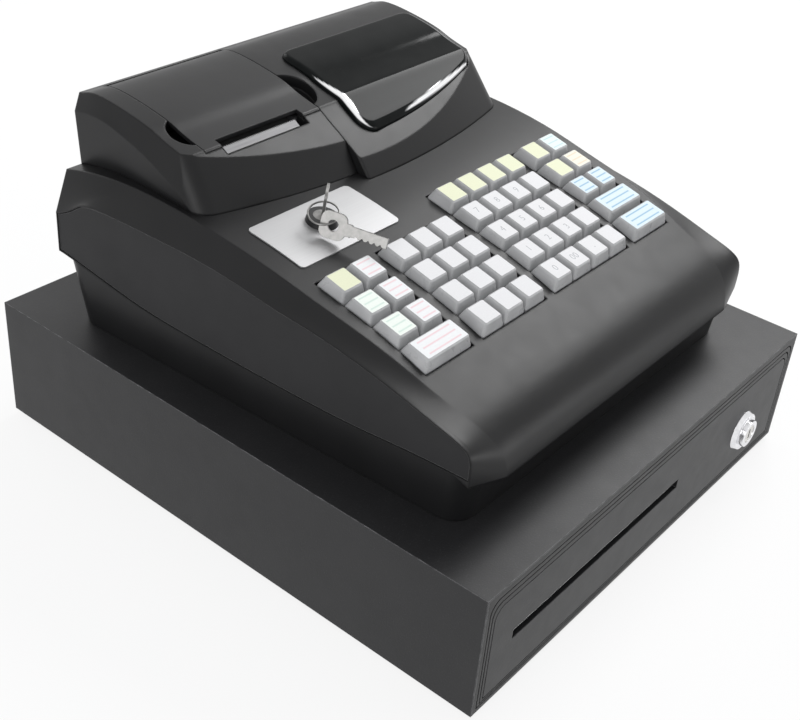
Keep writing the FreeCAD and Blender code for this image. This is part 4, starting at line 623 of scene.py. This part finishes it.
# %% Build the caps
def build_caps(node):
    """All caps of one CAD node as one piece: cap plastic first, then a card for each key."""
    low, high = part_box(node)
    centre = (low.x + high.x) / 2
    words = node.split("_")
    if words[0] == "key":
        rows = [int(words[2])]
        kinds = [CARD_OF_KEY[node]]
    else:
        rows = list(range(2 if words[1] == "middle" else 1, LAST_ROW + 1))
        kinds = ["yellow" if row == 1 else "grey" for row in rows]
    wide = 2 if words[-1] == "wide" else 1
    points, faces, card_faces = [], [], []
    total = 0
    for row in rows:
        shell, shell_faces, top = cap_shell(centre, row_place(row), wide)
        faces += [tuple(i + total for i in f) for f in shell_faces]
        card_faces.append(tuple(i + total for i in top))
        points.append(shell)
        total += len(shell)
    used = sorted(set(kinds))
    piece = add_piece("cap_" + node, np.concatenate(points), faces + card_faces, body_of_node[node],
                      [cap.made] + [cards[kind] for kind in used])
    uv = piece.data.uv_layers.new(name="card")
    flat = np.zeros((len(piece.data.loops), 2))
    for polygon, kind in zip(list(piece.data.polygons)[len(faces):], kinds):
        polygon.material_index = 1 + used.index(kind)
        polygon.use_smooth = False
        loops = np.arange(polygon.loop_start, polygon.loop_start + polygon.loop_total)
        corners = np.array([piece.data.vertices[v].co for v in polygon.vertices]) - ORIGIN
        pair = np.stack([corners @ SIDEWAYS, corners @ UP_SLOPE], axis=1)
        flat[loops] = (pair - pair.min(0)) / (pair.max(0) - pair.min(0))
    uv.data.foreach_set("uv", flat.ravel())
    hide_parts(node)
    return piece


key_nodes = sorted(CARD_OF_KEY) + sorted(n for n in solids if n.startswith("keys_"))
caps = [build_caps(node) for node in key_nodes]
print("cap pieces:", len(caps))

# %% [markdown]
# ## The display lens
# The lens is a thick smoked acrylic block that follows the curve of the hump and has rounded
# shoulders. The surface is a grid over the rounded outline. Its height is the hump's height at
# that depth, read from the CAD lens, less a quarter circle near the rim.

# %% Lens
LENS_THICKNESS = 4.6 * MM
LENS_CORNER = 10 * MM
LENS_SHOULDER = 3.4 * MM
LENS_BOW = 420 * MM
lens_low, lens_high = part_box("display_window")
lens_points = np.array([v.co for v in solids["display_window"].data.vertices])
depths = np.linspace(lens_low.y, lens_high.y, 40)
spacing = depths[1] - depths[0]
tops = np.array([lens_points[np.abs(lens_points[:, 1] - depth) <= spacing][:, 2].max()
                 for depth in depths])
tops = np.convolve(np.pad(tops, 1, mode="edge"), (0.25, 0.5, 0.25), mode="valid")


def front_at(across):
    """How far the bowed front has gone back at a place across: a circle of the bow's radius."""
    return LENS_BOW - np.sqrt(LENS_BOW ** 2 - across ** 2)


def lens_surface(columns=80, rows=60, corner=LENS_CORNER, shoulder=LENS_SHOULDER):
    """Grid over a rounded outline with a bowed front; its rim sinks as a quarter circle.

    Cosines crowd the rows and columns near the rim. A row is as long as the corner circle leaves
    it, and the rim is how far a point lies inside the outline.
    """
    s = 0.5 - 0.5 * np.cos(np.linspace(0.0, math.pi, columns))
    t = 0.5 - 0.5 * np.cos(np.linspace(0.0, math.pi, rows))
    half_x = (lens_high.x - lens_low.x) / 2
    middle_x = (lens_high.x + lens_low.x) / 2
    half_y = (lens_high.y - lens_low.y) / 2
    v = (t - 0.5) * 2 * half_y
    pull = np.clip(np.abs(v) - (half_y - corner), 0.0, corner)
    limit = half_x - corner + np.sqrt(np.maximum(corner ** 2 - pull ** 2, 0.0))
    u = (s[None, :] - 0.5) * 2 * limit[:, None]
    vv = np.repeat(v[:, None], columns, axis=1)
    qx, qy = np.abs(u) - (half_x - corner), np.abs(vv) - (half_y - corner)
    outside = np.hypot(np.maximum(qx, 0), np.maximum(qy, 0))
    rim = corner - outside - np.minimum(np.maximum(qx, qy), 0)
    x = u + middle_x
    lift = front_at(x) * (0.5 - vv / (2 * half_y))
    y = lens_low.y + half_y + vv + lift
    bite = np.clip(shoulder - rim, 0.0, shoulder)
    drop = shoulder - np.sqrt(shoulder ** 2 - bite ** 2)
    return x, y, np.interp(y, depths, tops) - drop


x, y, z = lens_surface()
rows, columns = x.shape
over = np.stack([x, y, z], axis=-1).reshape(-1, 3)
under = np.stack([x, y, np.interp(y, depths, tops) - LENS_THICKNESS], axis=-1).reshape(-1, 3)
upper_faces = grid_faces(rows, columns)
lower_faces = grid_faces(rows, columns, start=len(over))[:, ::-1]
around = np.concatenate([np.arange(columns), np.arange(1, rows) * columns + columns - 1,
                         (rows - 1) * columns + np.arange(columns - 2, -1, -1),
                         np.arange(rows - 2, 0, -1) * columns])
following = np.roll(around, -1)
sides = np.stack([around, around + len(over), following + len(over), following], axis=-1)
print("lens grid:", rows, "x", columns)

# %% [markdown]
# The lens is black, with painted reflections on its rounded shoulders: a white wedge down the
# left side that is widest near the front, a white streak along the front and a grey band on the
# right. They stay fixed to the rim from every side. Their brightness is a value kept on each
# point, worked out from how far the point is from each side, and the shader turns it into a white
# mirroring skin.

# %% Lens material and piece
def near_side(gap, start, width, soft=0.35 * MM):
    """A band beside one side: 1 between two gaps from it, with soft flanks, else 0."""
    rise = np.clip((gap - start) / soft, 0, 1)
    return rise * np.clip((start + width - gap) / soft, 0, 1)


def swell(along, first, peak, last):
    """A tent over the run of a side: 0 at its first place, 1 at its peak, 0 again at its last."""
    rise, fall = (along - first) / (peak - first), (last - along) / (last - peak)
    return np.clip(np.minimum(rise, fall), 0, 1)


# Widths of the painted reflections, and the shares of their side at which the painted wedge and the
# painted streak start, peak and end
WEDGE_WIDTH, STREAK_WIDTH, BAND_WIDTH = 4.6 * MM, 2.6 * MM, 2.6 * MM
WEDGE_PEAK, WEDGE_END = 0.22, 0.62
STREAK_START, STREAK_PEAK, STREAK_END = 0.26, 0.60, 0.97
PAINTED_BAND_LEVEL = 0.28
span_x, span_y = x.max() - x.min(), y.max() - y.min()
from_left, from_right = x - x.min(axis=1, keepdims=True), x.max(axis=1, keepdims=True) - x
from_front = y - y.min(axis=0, keepdims=True)
along_left, along_front = from_front / span_y, from_left / span_x
wedge_swell = swell(along_left, 0.0, WEDGE_PEAK, WEDGE_END)
streak_swell = np.sqrt(swell(along_front, STREAK_START, STREAK_PEAK, STREAK_END))
painted_wedge = near_side(from_left, 0.5 * MM, WEDGE_WIDTH * wedge_swell) * (along_left < WEDGE_END)
painted_streak = near_side(from_front, 0.4 * MM, STREAK_WIDTH * streak_swell) * (along_front > STREAK_START)
band = PAINTED_BAND_LEVEL * near_side(from_right, 0.3 * MM, BAND_WIDTH) * np.clip(along_left * 4, 0, 1)
# Painted reflections: the white wedge, the white streak and the grey band, one value on each point
painted_reflection = np.maximum(np.maximum(painted_wedge, painted_streak), band)

glass = Finish("smoked_acrylic_painted_reflections", 0.05, mirror=0.06)
painted_reflection_value = glass.nodes.new("ShaderNodeAttribute")
painted_reflection_value.attribute_name = "painted_reflection"
smears = glass.noise(15 * MM, 3.0)
black = glass.between(smears, (0.004, 0.005, 0.005), (0.007, 0.008, 0.008))
# Painted reflections: where the value is 1 the black lens turns into a near-white metal skin
glass.feed("Base Color", glass.mixed(painted_reflection_value.outputs["Fac"], black, (0.92, 0.92, 0.93)))
glass.feed("Metallic", glass.between(painted_reflection_value.outputs["Fac"], 0.0, 1.0, 0.0, 1.0))
glass.feed("Roughness", glass.between(smears, 0.06, 0.10, 0.35, 0.75))
glass.relief(glass.noise(30 * MM, 1.0), 0.01 * MM)
lens = add_piece("lens", np.concatenate([over, under]),
                 np.concatenate([upper_faces, lower_faces, sides]), "register", [glass.made])
attribute = lens.data.attributes.new("painted_reflection", "FLOAT", "POINT")
value = np.concatenate([painted_reflection.ravel(), np.zeros(len(under))])
attribute.data.foreach_set("value", value.astype(np.float32))
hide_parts("display_window")
print("lens is", [round(v / MM, 1) for v in lens.dimensions], "mm")

# %% [markdown]
# ## Numbers on the number keys
# The number keys carry plain faint digits. Blender's own letter outlines are turned into meshes,
# joined for each column of keys, and laid a hair above the cards in the plane of the key tops.

# %% Digits
DIGITS = (("7", "4", "1", "0"), ("8", "5", "2", "00"), ("9", "6", "3", "."))
DIGIT_ROWS = (2, 3, 4, 5)
DIGIT_SIZE = 6.4 * MM
DIGIT_HEIGHT = 0.42 * MM
ink = Finish("digit_ink", 0.4)
ink.feed("Base Color", ink.between(ink.noise(1.5 * MM), (0.26, 0.27, 0.29), (0.34, 0.35, 0.37)))


def digit_mesh(text, centre, row_up):
    """Points and faces of one number: flat outlines, carried from the page to the key plane."""
    curve = bpy.data.curves.new("digit", "FONT")
    curve.body = text
    curve.size = DIGIT_SIZE
    curve.align_x = "CENTER"
    curve.align_y = "CENTER"
    curve.resolution_u = 3
    holder = bpy.data.objects.new("digit", curve)
    mesh = bpy.data.meshes.new_from_object(holder)
    page = np.array([v.co[:2] for v in mesh.vertices])
    laid = [tuple(polygon.vertices) for polygon in mesh.polygons]
    bpy.data.objects.remove(holder)
    depth = np.full(len(page), -DIGIT_HEIGHT)
    return on_keyboard(centre + page[:, 0], row_up + page[:, 1], depth), laid


for i, texts in enumerate(DIGITS):
    node = "keys_right_%d" % (i + 1)
    low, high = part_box(node)
    points, faces, total = [], [], 0
    for row, text in zip(DIGIT_ROWS, texts):
        page, laid = digit_mesh(text, (low.x + high.x) / 2, row_place(row))
        points.append(page)
        faces += [tuple(k + total for k in face) for face in laid]
        total += len(page)
    add_piece("digits_" + node, np.concatenate(points), faces, body_of_node[node], [ink.made],
              smooth=False)
print("digits on", len(DIGITS), "columns")
